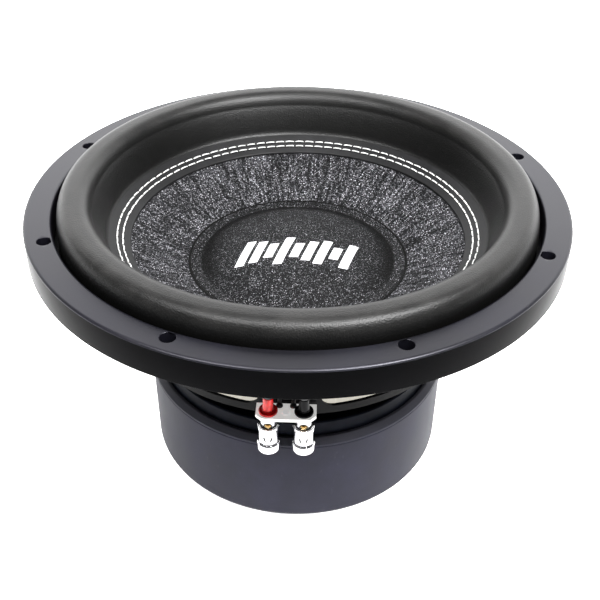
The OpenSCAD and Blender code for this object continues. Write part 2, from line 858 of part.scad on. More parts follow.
basket();
trim_ring();
surround();
spider();
top_plate();
magnet(magnet_upper_z);  // magnet_upper
magnet(magnet_lower_z);  // magnet_lower
back_plate();
pole_piece();
vent_screen();
magnet_boot();
basket_screws();
terminal_board();
board_rivets();
color([0.8, 0.08, 0.06]) bushing(-1);  // bushing_red
color([0.05, 0.05, 0.05]) bushing(1);  // bushing_black
terminal_posts();
spring(-1);  // spring_red
spring(1);  // spring_black
solder_joints();
color([0.1, 0.1, 0.1]) lead(-1);  // lead_red
color([0.1, 0.1, 0.1]) lead(1);  // lead_black
sleeve(-1);  // sleeve_red
grip(-1);  // grip_red
sleeve(1);  // sleeve_black
grip(1);  // grip_black
cone();
surround_lip();
stitch_row(lip_in_r + stitch_outer_in);  // stitch_row_outer
stitch_row(lip_in_r + stitch_inner_in);  // stitch_row_inner
dust_cap();
cap_glue_bead();
coil_former();
coil_winding();
lead_eyelets();
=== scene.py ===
"""Finished looks of a twelve inch car subwoofer driver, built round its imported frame.

Lengths inside the shape functions are millimetres; meshes are written in metres.
The driver's axis is Z, the terminals face -Y and the boot stands on z = 0.
"""
import json
import math

import bmesh
import bpy
import numpy as np
from mathutils import Matrix, Vector


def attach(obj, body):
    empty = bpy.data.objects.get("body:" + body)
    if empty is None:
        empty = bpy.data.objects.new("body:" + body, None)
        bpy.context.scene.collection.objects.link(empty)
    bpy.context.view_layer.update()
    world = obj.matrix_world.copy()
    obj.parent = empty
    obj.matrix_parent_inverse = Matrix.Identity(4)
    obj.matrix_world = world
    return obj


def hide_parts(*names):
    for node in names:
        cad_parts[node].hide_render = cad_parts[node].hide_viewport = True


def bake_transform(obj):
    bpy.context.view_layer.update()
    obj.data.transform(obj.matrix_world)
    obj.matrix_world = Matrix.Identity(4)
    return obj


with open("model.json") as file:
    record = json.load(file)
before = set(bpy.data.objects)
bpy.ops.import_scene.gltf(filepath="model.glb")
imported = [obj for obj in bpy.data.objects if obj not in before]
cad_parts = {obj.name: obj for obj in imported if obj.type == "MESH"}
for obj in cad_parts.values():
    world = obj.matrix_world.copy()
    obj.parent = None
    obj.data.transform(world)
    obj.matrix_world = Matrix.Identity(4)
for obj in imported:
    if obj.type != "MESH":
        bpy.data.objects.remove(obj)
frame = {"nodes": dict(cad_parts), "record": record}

bl_info = {
    "name": "Subwoofer driver",
    "version": (1, 0, 0),
    "blender": (4, 5, 0),
    "location": "View3D > Sidebar > Driver",
    "description": "Builds the rubber, pulp, cloth, thread and plated pieces of a subwoofer driver",
    "category": "Add Mesh",
}

MM = 0.001
TAU = 2 * math.pi
NODES = frame["nodes"]
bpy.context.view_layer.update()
DRAWN = {}


# ---------------------------------------------------------------- sizes read from the frame

def vertices(node):
    """The vertices of a CAD node as rows of x, y, z in millimetres."""
    mesh = NODES[node].data
    co = np.empty(len(mesh.vertices) * 3)
    mesh.vertices.foreach_get("co", co)
    return co.reshape(-1, 3) / MM


def reach(node, low=-1e9):
    """Smallest and largest distance from the axis and lowest and highest z, above height low."""
    co = vertices(node)
    co = co[co[:, 2] > low]
    r = np.hypot(co[:, 0], co[:, 1])
    return r.min(), r.max(), co[:, 2].min(), co[:, 2].max()


def mount(name):
    """The record's mount of that name."""
    return next(m for m in frame["record"]["mounts"] if m["name"] == name)


RING_IN, RING_OUT, RING_LOW, RING_TOP = reach("trim_ring")
TOE_R, FOOT_R, FOOT_LOW, CREST_Z = reach("surround")
LIP_IN, LIP_OUT, LIP_LOW, LIP_TOP = reach("surround_lip")
NECK_R, CONE_OUT, CONE_LOW, CONE_TOP = reach("cone")
CAP_R, CAP_TOP = reach("dust_cap")[1::2]
SPIDER_IN, SPIDER_OUT, SPIDER_LOW, SPIDER_TOP = reach("spider")
BOOT_VENT_R, BOOT_R, BOOT_LOW, BOOT_TOP = reach("magnet_boot")
BOLTS = mount("baffle_bolts")["dims"]
BOLT_R = BOLTS["pcd_mm"] / 2
BOARD_LOW, BOARD_TOP = reach("terminal_board")[2:]
RED_AT, BLACK_AT = (
    Vector(mount(name)["pos_m"]) / MM for name in ("wire_hole_red", "wire_hole_black")
)
RED_POST = vertices("terminal_posts")
RED_POST = RED_POST[(RED_POST[:, 2] < BOARD_LOW - 1) & (RED_POST[:, 0] < RED_AT.x)]
POST_R = np.hypot(RED_POST[:, 0] - RED_AT.x, RED_POST[:, 1] - RED_AT.y).max()
TERMINAL_X = (RED_AT.x + BLACK_AT.x) / 2
TERMINAL_HALF = (BLACK_AT.x - RED_AT.x) / 2


# ---------------------------------------------------------------- settings

def length(label, text, value):
    """A length property, given in millimetres."""
    return bpy.props.FloatProperty(name=label, description=text, default=value * MM, unit="LENGTH",
                                   precision=5)


def colour(label, text, rgb):
    """A colour property."""
    return bpy.props.FloatVectorProperty(name=label, description=text, default=rgb, subtype="COLOR",
                                         size=3, min=0, max=1)


def share(label, text, value):
    """A number from 0 to 1."""
    return bpy.props.FloatProperty(name=label, description=text, default=value, subtype="FACTOR",
                                   min=0, max=1)


def count(label, text, value):
    """A whole number."""
    return bpy.props.IntProperty(name=label, description=text, default=value, min=3)


class DriverRubber(bpy.types.PropertyGroup):
    """Sizes and colours of the rubber mouldings."""
    ring_colour: colour("Ring colour", "Colour of the trim ring's rubber", (0.002, 0.002, 0.0035))
    ring_round: length("Ring edge", "Radius of the trim ring's upper edges", 1.6)
    hole_d: length("Ring hole", "Diameter of the screw holes in the trim ring", 8.2)
    roll_colour: colour("Surround colour", "Colour of the surround", (0.0006, 0.0006, 0.0005))
    roll_power: bpy.props.FloatProperty(
        name="Roll squareness", description="Power of the roll's squared-off ellipse", default=3.15)
    roll_t: length("Surround wall", "Thickness of the surround", 1.8)
    lip_colour: colour("Lip colour", "Colour of the stitched lip", (0.006, 0.006, 0.0065))
    lip_t: length("Lip wall", "Thickness of the stitched lip", 1.5)
    boot_colour: colour("Boot colour", "Colour of the magnet boot", (0.0095, 0.0095, 0.018))
    boot_bevel: length("Boot bevel", "Bevel on the boot's upper edge", 3.3)
    boot_round: length("Boot rounding", "Rounding of the boot's lower edge", 4)


class DriverThread(bpy.types.PropertyGroup):
    """Sizes and colours of the stitching."""
    colour: colour("Thread colour", "Colour of the thread", (0.86, 0.86, 0.84))
    stitches: count("Stitches", "Number of stitches in a row", 100)
    width: length("Thread width", "Width of the thread", 0.88)
    fill: share("Stitch share", "Share of the pitch that a stitch covers", 0.86)


class DriverPulp(bpy.types.PropertyGroup):
    """Sizes and colours of the cone and the dust cap."""
    cone_colour: colour("Cone colour", "Colour of the cone's pulp", (0.0075, 0.0075, 0.0085))
    cap_colour: colour("Cap colour", "Colour of the cap's pulp", (0.0035, 0.0035, 0.0038))
    fleck_colour: colour("Fleck colour", "Colour of the bright fibres", (0.88, 0.88, 0.94))
    relief: length("Cone relief", "Depth of the cone's rough face", 0.75)
    cap_relief: length("Cap relief", "Depth of the cap's rough face", 0.12)
    cone_t: length("Cone wall", "Thickness of the cone", 1.8)
    cap_t: length("Cap wall", "Thickness of the dust cap", 1.4)
    cap_lip_w: length("Cap lip", "Width of the cap's glued lip", 6.6)
    mark_colour: colour("Mark colour", "Colour of the printed bars", (0.86, 0.86, 0.86))


class DriverSpider(bpy.types.PropertyGroup):
    """Sizes and colours of the spider."""
    colour: colour("Cloth colour", "Colour of the treated cloth", (0.93, 0.89, 0.78))
    waves: count("Corrugations", "Number of corrugations", 6)
    thread: length("Thread pitch", "Distance between two threads of the cloth", 0.62)


class DriverMetal(bpy.types.PropertyGroup):
    """Colours of the steel, the plating and the terminals."""
    paint: colour("Basket paint", "Colour of the basket's coating", (0.001, 0.001, 0.0012))
    chrome: colour("Chrome", "Colour of the terminals' plating", (0.8, 0.8, 0.82))
    brass: colour("Brass", "Colour of the brass pieces", (0.86, 0.68, 0.4))
    red: colour("Red bushing", "Colour of the red bushing", (0.78, 0.008, 0.006))
    board: colour("Board", "Colour of the terminal board", (0.8, 0.8, 0.78))


class DriverStage(bpy.types.PropertyGroup):
    """Floor, light and camera."""
    lens: bpy.props.FloatProperty(name="Lens", description="Focal length of the camera in millimetres",
                                  default=56.81)
    camera_distance: length("Camera distance", "Distance from the camera to the ring's centre", 567.5)
    camera_azimuth: bpy.props.FloatProperty(
        name="Camera azimuth", description="Turn of the camera from -Y towards +X",
        default=math.radians(2.1), subtype="ANGLE")
    camera_elevation: bpy.props.FloatProperty(
        name="Camera elevation", description="Height of the camera above the ring's plane",
        default=math.radians(30.016), subtype="ANGLE")
    camera_roll: bpy.props.FloatProperty(
        name="Camera roll", description="Turn of the camera about its line of sight",
        default=-0.0095, subtype="ANGLE")
    aim_drop: length("Aim drop", "Depth of the point the camera looks at below the ring's top", 77)
    sky: bpy.props.FloatProperty(name="Sky", description="Brightness of the white surroundings",
                                 default=0.16)


GROUPS = {
    "driver_rubber": DriverRubber,
    "driver_thread": DriverThread,
    "driver_pulp": DriverPulp,
    "driver_spider": DriverSpider,
    "driver_metal": DriverMetal,
    "driver_stage": DriverStage,
}


# ---------------------------------------------------------------- mesh kit

def make_object(name, co, faces, body=None, material=None, uv=None):
    """Writes vertices in millimetres and faces into a mesh at the origin, and puts it on a body."""
    mesh = bpy.data.meshes.new(name)
    mesh.from_pydata(np.asarray(co) * MM, [], faces)
    if uv is not None:
        layer = mesh.uv_layers.new(name="UVMap")
        loops = np.empty(len(mesh.loops), dtype=int)
        mesh.loops.foreach_get("vertex_index", loops)
        layer.data.foreach_set("uv", np.asarray(uv)[loops].ravel())
    mesh.polygons.foreach_set("use_smooth", [True] * len(mesh.polygons))
    mesh.update()
    obj = bpy.data.objects.new(name, mesh)
    bpy.context.scene.collection.objects.link(obj)
    if material:
        mesh.materials.append(material)
    if body:
        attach(obj, body)
    return obj


def grid_faces(rows, cols, wrap_rows=False, wrap_cols=False):
    """Quads of a rows x cols grid of points; a wrapped direction joins its last line to its first."""
    i = np.arange(rows if wrap_rows else rows - 1)
    j = np.arange(cols if wrap_cols else cols - 1)
    a, b = np.meshgrid(i, j, indexing="ij")
    a, b = a.ravel(), b.ravel()
    c, d = (a + 1) % rows, (b + 1) % cols
    return np.stack([a * cols + b, a * cols + d, c * cols + d, c * cols + b], 1)


def turned(profile, steps, centre=(0, 0), closed=True, lift=None):
    """Turns a profile of (r, z) points about the vertical through centre: the point at angle t is
    (r cos t, r sin t, z). A closed profile wraps round; an open one ends on the axis in two fans.
    lift, of shape (points, steps), raises each point along z. Returns points and faces."""
    profile = np.asarray(profile, float)
    t = np.arange(steps) * TAU / steps
    r = profile[:, :1] * np.ones(steps)
    z = profile[:, 1:] * np.ones(steps)
    if lift is not None:
        z = z + lift
    co = np.stack([r * np.cos(t) + centre[0], r * np.sin(t) + centre[1], z], -1)
    n = len(profile)
    x, y = profile[:, 0], profile[:, 1]
    loop_area = np.sum(x * np.roll(y, -1) - np.roll(x, -1) * y)
    faces = grid_faces(n, steps, wrap_rows=closed, wrap_cols=True)
    if loop_area < 0:
        faces = faces[:, ::-1]
    faces = faces.tolist()
    co = co.reshape(-1, 3)
    if not closed:
        for row in (0, n - 1):
            hub = len(co)
            middle = co[row * steps:(row + 1) * steps].mean(0)
            co = np.vstack([co, middle])
            j = np.arange(steps)
            fan = np.stack([row * steps + j, row * steps + (j + 1) % steps, np.full(steps, hub)], 1)
            if (row == 0) == (loop_area < 0):
                fan = fan[:, ::-1]
            faces += fan[:, ::-1].tolist()
    return co, faces


def filleted(points, radii, steps=5):
    """An outline whose corners are rounded: each corner gives way to an arc of its radius that touches
    both of its sides. A radius of 0 keeps the corner."""
    points = [np.array(p, float) for p in points]
    radii = [radii] * len(points) if np.isscalar(radii) else radii
    out = []
    for k, (p, rad) in enumerate(zip(points, radii)):
        a = points[k - 1] - p
        b = points[(k + 1) % len(points)] - p
        la, lb = np.linalg.norm(a), np.linalg.norm(b)
        a, b = a / la, b / lb
        half = math.acos(float(np.clip(a @ b, -1, 1))) / 2
        if rad <= 0 or half > 1.55 or half < 0.02:
            out.append(p)
            continue
        rad = min(rad, 0.99 * min(la, lb) * math.tan(half))
        hub = p + (a + b) / np.linalg.norm(a + b) * rad / math.sin(half)
        s = p + a * rad / math.tan(half) - hub
        e = p + b * rad / math.tan(half) - hub
        a0 = math.atan2(s[1], s[0])
        turn = (math.atan2(e[1], e[0]) - a0 + 3 * math.pi) % TAU - math.pi
        out += [hub + rad * np.array([math.cos(a0 + turn * i / steps), math.sin(a0 + turn * i / steps)])
                for i in range(steps + 1)]
    return np.array(out)


def tube(path, radius, sides):
    """A round tube along a path: each ring is square to the path, and its frame is carried along
    without twist. radius is one number or an array of (points, sides). Returns points, faces, uv."""
    path = np.asarray(path, float)
    n = len(path)
    ahead = np.gradient(path, axis=0)
    ahead /= np.linalg.norm(ahead, axis=1, keepdims=True)
    side = np.cross(ahead[0], [0.31, 0.17, 0.93])
    side /= np.linalg.norm(side)
    sides_u = [side]
    for d in ahead[1:]:
        side = side - d * (side @ d)
        side = side / np.linalg.norm(side)
        sides_u.append(side)
    u = np.array(sides_u)
    v = np.cross(ahead, u)
    a = np.arange(sides) * TAU / sides
    radius = np.ones((n, sides)) * radius
    co = (path[:, None] + radius[..., None] * (np.cos(a)[None, :, None] * u[:, None]
                                               + np.sin(a)[None, :, None] * v[:, None]))
    co = co.reshape(-1, 3)
    faces = grid_faces(n, sides, wrap_cols=True).tolist()
    faces += [list(range(sides))[::-1], [(n - 1) * sides + k for k in range(sides)]]
    run = np.concatenate([[0], np.cumsum(np.linalg.norm(np.diff(path, axis=0), axis=1))])
    uv = np.stack(np.broadcast_arrays((np.arange(sides) / sides)[None], run[:, None] * MM), -1)
    return co, faces, uv.reshape(-1, 2)


def joined(parts):
    """Several (points, faces) lists as one."""
    co, faces, start = [], [], 0
    for part_co, part_faces in parts:
        co.append(np.asarray(part_co))
        faces += [[start + k for k in f] for f in part_faces]
        start += len(part_co)
    return np.vstack(co), faces


def curve_through(points, steps):
    """A smooth curve through given points: each stretch is a Catmull-Rom cubic."""
    p = np.asarray(points, float)
    p = np.vstack([2 * p[0] - p[1], p, 2 * p[-1] - p[-2]])
    t = np.linspace(0, 1, steps, endpoint=False)[:, None]
    out = []
    for k in range(1, len(p) - 2):
        a, b, c, d = p[k - 1], p[k], p[k + 1], p[k + 2]
        out.append(0.5 * (2 * b + (c - a) * t + (2 * a - 5 * b + 4 * c - d) * t ** 2
                          + (3 * b - a - 3 * c + d) * t ** 3))
    return np.vstack(out + [p[-2:-1]])


def lattice_noise(u, v, cells_u, cells_v, seed):
    """Smooth random values from 0 to 1 at (u, v): random numbers on a lattice of cells, eased between
    its corners. u runs round once from 0 to 1 and closes on itself."""
    table = np.random.default_rng(seed).random((cells_u, cells_v + 2))
    x = (u % 1) * cells_u
    y = np.clip(v, 0, 1) * cells_v
    i, j = np.floor(x).astype(int), np.floor(y).astype(int)
    fx, fy = x - i, y - j
    fx, fy = fx * fx * (3 - 2 * fx), fy * fy * (3 - 2 * fy)
    i0, i1 = i % cells_u, (i + 1) % cells_u
    return ((table[i0, j] * (1 - fx) + table[i1, j] * fx) * (1 - fy)
            + (table[i0, j + 1] * (1 - fx) + table[i1, j + 1] * fx) * fy)


def stretch(obj, start, end):
    """Bakes the piece's placement into its mesh."""
    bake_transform(obj)


def eased(x, low, high):
    """0 below low, 1 above high and a smooth step between."""
    t = np.clip((x - low) / (high - low), 0, 1)
    return t * t * (3 - 2 * t)


# ---------------------------------------------------------------- shader kit

class Field:
    """A value that varies over a surface: a node's output socket that takes part in sums."""

    def __init__(self, finish, socket):
        self.finish = finish
        self.socket = socket

    def math(self, operation, *values, clamp=False):
        """A Math node on this value and others."""
        sockets = dict(enumerate((self, *values)))
        return self.finish.node("ShaderNodeMath", {"operation": operation, "use_clamp": clamp}, sockets)

    def __add__(self, other):
        return self.math("ADD", other)

    __radd__ = __add__

    def __mul__(self, other):
        return self.math("MULTIPLY", other)

    __rmul__ = __mul__

    def __sub__(self, other):
        return self.math("SUBTRACT", other)

    def __rsub__(self, other):
        return (self * -1) + other

    def __truediv__(self, other):
        return self.math("DIVIDE", other)

    def __pow__(self, power):
        return self.math("POWER", power)

    def between(self, low, high):
        """0 below low, 1 above high and a smooth step between."""
        return self.finish.node("ShaderNodeMapRange", {"interpolation_type": "SMOOTHSTEP"},
                                {"Value": self, "From Min": low, "From Max": high})


class Finish:
    """One material: a shader and the nodes that vary it."""

    def __init__(self, name, **constants):
        self.material = bpy.data.materials.new(name)
        self.material.use_nodes = True
        self.tree = self.material.node_tree
        self.shader = self.tree.nodes["Principled BSDF"]
        self.set(**constants)

    def set(self, **sockets):
        """Sets or links the shader's sockets, named with underscores for spaces."""
        for name, value in sockets.items():
            self.feed(self.shader.inputs[name.replace("_", " ")], value)
        return self.material

    def feed(self, socket, value):
        """Links a field to a socket, or sets the socket."""
        if isinstance(value, Field):
            self.tree.links.new(value.socket, socket)
        elif socket.type == "RGBA" and not np.isscalar(value) and len(value) == 3:
            socket.default_value = (*value, 1)
        else:
            socket.default_value = value

    def node(self, kind, settings=None, sockets=None, out=0):
        """A node of a kind with its settings, then the values or links of its sockets."""
        made = self.tree.nodes.new(kind)
        for name, value in (settings or {}).items():
            setattr(made, name, value)
        for key, value in (sockets or {}).items():
            self.feed(made.inputs[key], value)
        return Field(self, made.outputs[out])

    def place(self):
        """Object coordinates, in metres."""
        return self.node("ShaderNodeTexCoord", out="Object")

    def axes(self, vector=None):
        """The x, y and z of a vector, or of the object coordinates."""
        vector = vector or self.place()
        return [self.node("ShaderNodeSeparateXYZ", None, {0: vector}, out=k) for k in range(3)]

    def vector(self, x, y, z):
        """A vector of three fields."""
        return self.node("ShaderNodeCombineXYZ", None, {0: x, 1: y, 2: z})

    def noise(self, size, detail=2.0, rough=0.5, at=None):
        """Noise whose lumps are about size millimetres across."""
        return self.node("ShaderNodeTexNoise", None,
                         {"Vector": at or self.place(), "Scale": 1 / (size * MM), "Detail": detail,
                          "Roughness": rough})

    def cells(self, size, feature="F1", out="Distance"):
        """Cells about size millimetres across."""
        return self.node("ShaderNodeTexVoronoi", {"feature": feature},
                         {"Vector": self.place(), "Scale": 1 / (size * MM)}, out=out)

    def mix(self, low, high, factor):
        """A colour between two colours."""
        return self.node("ShaderNodeMix", {"data_type": "RGBA"}, {0: factor, 6: low, 7: high}, out=2)

    def bump(self, height, depth, strength=1.0, over=None):
        """A normal from a height of 0 to 1 that stands for depth millimetres."""
        sockets = {"Height": height, "Distance": depth * MM, "Strength": strength}
        if over:
            sockets["Normal"] = over
        return self.node("ShaderNodeBump", None, sockets)

    def lines(self, along, scale):
        """Noise that varies only along one field, such as tool marks or mould lines."""
        return self.node("ShaderNodeTexNoise", {"noise_dimensions": "1D"},
                         {"W": along, "Scale": scale, "Detail": 3.0})

    def polar(self, round_scale=1.0, out_scale=1.0):
        """A place whose x and y go round the axis and whose z is the distance from it, with no seam:
        the direction from the axis times round_scale metres, and the radius times out_scale."""
        x, y, _ = self.axes()
        flat = self.vector(x, y, 0.0)
        radius = self.node("ShaderNodeVectorMath", {"operation": "LENGTH"}, {0: flat}, out="Value")
        way = self.node("ShaderNodeVectorMath", {"operation": "NORMALIZE"}, {0: flat})
        dx, dy, _ = self.axes(way)
        return self.vector(dx * round_scale, dy * round_scale, radius * out_scale), radius


def once(make):
    """Each finish is made once and shared."""
    def finish():
        if make.__name__ not in DRAWN:
            DRAWN[make.__name__] = make()
        return DRAWN[make.__name__]
    return finish


def brighter(rgb, by):
    """A colour times a number, kept under 1."""
    return tuple(min(1, c * by) for c in rgb)


# ---------------------------------------------------------------- finishes

@once
def ring_rubber():
    """Satin moulded rubber of the trim ring: fine grain, faint haze and a little dust."""
    base = bpy.context.scene.driver_rubber.ring_colour
    f = Finish("ring_rubber", Specular_IOR_Level=0.5, Specular_Tint=(0.9, 0.89, 1, 1))
    haze = f.noise(38, 3)
    dust = f.cells(1.9).between(0.16, 0.05) * f.noise(9, 2).between(0.52, 0.7)
    grain = f.noise(0.45, 3, 0.6)
    tone = f.mix(base, brighter(base, 2.1), haze.between(0.35, 0.75))
    f.set(Base_Color=f.mix(tone, (0.11, 0.11, 0.115), dust * 0.35),
          Roughness=haze * 0.1 + grain * 0.06 + 0.3 + dust * 0.2,
          Normal=f.bump(grain, 0.016, 0.5))
    return f.material


@once
def ring_wall_painted_shade():
    """The trim ring's outer wall: its rubber coloured far darker than the face as painted shade, duller than
    the face, with faint mould lines that run round it.
    """
    f = Finish("ring_wall_painted_shade", Specular_IOR_Level=0.02)
    z = f.axes()[2]
    lines = f.lines(z * 1000, 3.0)
    grain = f.noise(0.5, 3, 0.6)
    haze = f.noise(24, 3).between(0.3, 0.8)
    # painted shade: the wall's colour is many times darker than the ring's face
    f.set(Base_Color=f.mix((0.0002, 0.0002, 0.0004), (0.0006, 0.0006, 0.001), haze),
          Roughness=grain * 0.08 + lines * 0.06 + 0.24,
          Normal=f.bump(grain * 0.6 + lines * 0.4, 0.02, 0.5))
    return f.material


@once
def surround_rubber():
    """Matt rubber of the roll with a fine pebble grain, and a painted highlight in lighter patches on its
    crest.
    """
    base = bpy.context.scene.driver_rubber.roll_colour
    f = Finish("surround_rubber", Specular_IOR_Level=0.42)
    pebble = f.cells(0.75, "SMOOTH_F1")
    fine = f.noise(0.42, 3, 0.7)
    patch = f.noise(16, 4, 0.6)
    z = f.axes()[2]
    # painted highlight: the crest is coloured lighter in patches where the lamps catch it
    crest = z.between((CREST_Z - 9) * MM, CREST_Z * MM)
    painted_crest_highlight = crest * patch.between(0.3, 0.75)
    f.set(Base_Color=f.mix(base, (0.02, 0.019, 0.018), painted_crest_highlight * 0.5 + fine.between(0.55, 0.8) * 0.12),
          Roughness=patch * 0.06 + fine * 0.14 + 0.31,
          Normal=f.bump(fine, 0.1, 0.7, f.bump(pebble, 0.17, 0.7)))
    return f.material


@once
def lip_rubber():
    """Smooth dark lip under the stitching, a little polished, with a faint sewn sheen."""
    base = bpy.context.scene.driver_rubber.lip_colour
    f = Finish("lip_rubber", Specular_IOR_Level=0.28)
    patch = f.noise(14, 3)
    fine = f.noise(0.35, 3, 0.6)
    f.set(Base_Color=f.mix(base, brighter(base, 1.8), patch.between(0.35, 0.8)),
          Roughness=patch * 0.12 + fine * 0.08 + 0.4,
          Normal=f.bump(fine, 0.03, 0.5))
    return f.material


@once
def boot_rubber():
    """Blue-black rubber of the boot: soft grain, light rubs, a paler film of bloom and a painted highlight on
    the bevelled rim.
    """
    base = bpy.context.scene.driver_rubber.boot_colour
    f = Finish("boot_rubber", Specular_IOR_Level=0.17, Specular_Tint=(0.85, 0.85, 1, 1))
    x, y, z = f.axes()
    streak = f.noise(1, 4, 0.6, f.vector(x * 0.05, y * 0.05, z * 0.012))
    bloom = f.noise(22, 4, 0.62)
    grain = f.noise(0.5, 3, 0.6)
    scuff = f.noise(3.2, 5, 0.75, f.vector(x, y, z * 0.35)).between(0.62, 0.76)
    # painted highlight: the bevel and rim are coloured lighter where they catch the light
    edge = z.between((BOOT_TOP - 4.4) * MM, (BOOT_TOP - 2.6) * MM)
    tone = f.mix(brighter(base, 0.75), brighter(base, 1.35), bloom.between(0.3, 0.75))
    tone = f.mix(tone, (0.03, 0.03, 0.035), edge * 0.7)
    f.set(Base_Color=f.mix(tone, (0.1, 0.1, 0.11), scuff * 0.22),
          Roughness=bloom * 0.14 + grain * 0.08 + streak * 0.08 + 0.36,
          Normal=f.bump(grain, 0.03, 0.5))
    return f.material


def pulp(name, base, fleck, size, ridge, rarity, gloss):
    """Paper pulp: dark fibres from the press that run in every direction, painted shade that colours the
    hollows darker than the lumps, and bright flecks of mica kept to the lumps' faces. size is a fleck's
    size, ridge the radial drawing, rarity the share of spots with no fleck and gloss the polish of the dark
    pulp."""
    f = Finish(name, Specular_IOR_Level=gloss)
    along, _ = f.polar(0.09, 0.15)
    drawn = f.noise(size * 2.35, 5, 0.65, along)
    lumps = f.noise(size * 0.95, 4, 0.75)
    fibre = f.noise(size * 0.45, 3, 0.7)
    cell = f.cells(size)
    pick = f.axes(f.cells(size, out="Color"))
    bright = cell.between(0.48, 0.22) * pick[0].between(rarity, rarity + 0.2)
    glint = f.cells(size * 0.62).between(0.42, 0.18) * pick[1].between(rarity - 0.1, rarity + 0.25)
    relief = lumps * (1 - ridge) + (drawn * 0.75 + lumps * 0.25) * ridge
    # painted shade: the hollows of the relief are coloured far darker than its lumps
    tone = f.mix(brighter(base, 0.05), brighter(base, 4), relief.between(0.44, 0.66))
    tone = f.mix(tone, brighter(base, 14), fibre.between(0.55, 0.75) * 0.5)
    # the flecks are kept to the lumps, which leaves the painted shade in the hollows
    spark = (bright * (pick[2] * 0.8 + 0.2) + glint * 0.6) * (relief.between(0.44, 0.53) * 0.86 + 0.14)
    spark = spark.math("MINIMUM", 1.0)
    f.set(Base_Color=f.mix(tone, fleck, spark),
          Roughness=0.62 - spark * 0.3,
          Metallic=spark * 0.85,
          Normal=f.bump(relief * 0.55 + fibre * 0.2 + spark * 0.25, size * 0.9, 1.0))
    return f


@once
def cone_pulp():
    """Coarse unpressed pulp of the cone."""
    p = bpy.context.scene.driver_pulp
    return pulp("cone_pulp", p.cone_colour, p.fleck_colour, 0.95, 0.85, 0.5, 0.1).material


@once
def cap_pulp():
    """Finer pulp of the dust cap, formed in the press, with painted shade on a ring round the dome's foot
    everywhere but at the front, and a row of plain printed bars.
    """
    p = bpy.context.scene.driver_pulp
    f = pulp("cap_pulp", p.cap_colour, p.fleck_colour, 0.66, 0.1, 0.72, 0.12)
    x, y, _ = f.axes()
    radius = (x * x + y * y).math("SQRT")
    # painted shade: a ring round the dome's foot, everywhere but at the front, is coloured nearly black and
    # loses its flecks
    painted_foot_shade = (radius.between(44 * MM, 58 * MM) * radius.between(61 * MM, 59.4 * MM)
               * y.between(-52 * MM, -12 * MM))
    pitch, bars, middle = 7.8 * MM, 9, -13 * MM
    lean = x - (y - middle) * 0.3
    place = lean / pitch + bars / 2
    inside = (lean.math("ABSOLUTE") - pitch * bars / 2).between(0.0002, -0.0002)
    within = (place.math("FRACT") - 0.5).math("ABSOLUTE").between(0.37, 0.33)
    tall = ((place.math("FLOOR") * 2.4 + 0.6).math("SINE") * 3.4 + 9) * MM
    tall = (tall - (y - middle).math("ABSOLUTE")).between(-0.0002, 0.0002)
    mark = inside * within * tall * f.noise(0.6, 3, 0.7).between(0.26, 0.4)
    tone, rough, metal = (Field(f, f.shader.inputs[name].links[0].from_socket)
                          for name in ("Base Color", "Roughness", "Metallic"))
    tone = f.mix(tone, (0.001, 0.001, 0.001), painted_foot_shade * 0.93)
    f.set(Base_Color=f.mix(tone, p.mark_colour, mark),
          Metallic=metal * (1 - mark) * (1 - painted_foot_shade * 0.9),
          Roughness=rough * (1 - mark) + mark * 0.45)
    return f.material


@once
def thread():
    """White twisted thread: two plies that show as slanted lines along each stitch, with a faint painted
    glow.
    """
    base = bpy.context.scene.driver_thread.colour
    # painted glow: the thread emits its own colour faintly so that it looks brighter
    f = Finish("thread", Sheen_Weight=0.4, Sheen_Roughness=0.5, Emission_Strength=0.15)
    uv = f.node("ShaderNodeTexCoord", out="UV")
    u, v, _ = f.axes(uv)
    ply = ((u * 2 + v * 2200) * TAU).math("SINE") * 0.5 + 0.5
    fuzz = f.noise(0.25, 3, 0.7)
    tone = f.mix(brighter(base, 0.6), base, (ply * 0.75 + fuzz * 0.5).between(0.15, 0.75))
    f.set(Base_Color=tone, Emission_Color=tone,
          Roughness=fuzz * 0.2 + 0.6,
          Normal=f.bump(ply, 0.12, 0.7))
    return f.material


@once
def spider_cloth():
    """Resin-treated plain weave: threads along X and Y that pass over and under each other, with
    amber resin in the valleys and a painted glow that lights the cloth in the ring's shade."""
    s = bpy.context.scene.driver_spider
    # painted glow: the cloth emits its own colour to light it where the ring shades it
    f = Finish("spider_cloth", Sheen_Weight=0.15, Specular_IOR_Level=0.35, Emission_Strength=0.75)
    x, y, z = f.axes()
    k = math.pi / s.thread
    sx, sy = (x * k).math("SINE"), (y * k).math("SINE")
    over = (sx * sy).between(-0.25, 0.25)
    warp = (y * (2 * k)).math("COSINE") * 0.5 + 0.5
    weft = (x * (2 * k)).math("COSINE") * 0.5 + 0.5
    cloth = warp * over + weft * (1 - over)
    resin = f.noise(20, 4, 0.6)
    deep = z.between((SPIDER_LOW + 3.4) * MM, (SPIDER_LOW + 0.4) * MM)
    tone = f.mix(brighter(s.colour, 0.62), s.colour, cloth.between(0.05, 0.7))
    tone = f.mix(tone, (0.66, 0.47, 0.22), deep * 0.3 + resin.between(0.5, 0.85) * 0.22)
    f.set(Base_Color=tone, Emission_Color=tone,
          Roughness=cloth * 0.15 + resin * 0.15 + 0.5,
          Normal=f.bump(cloth, 0.2, 0.8))
    return f.material


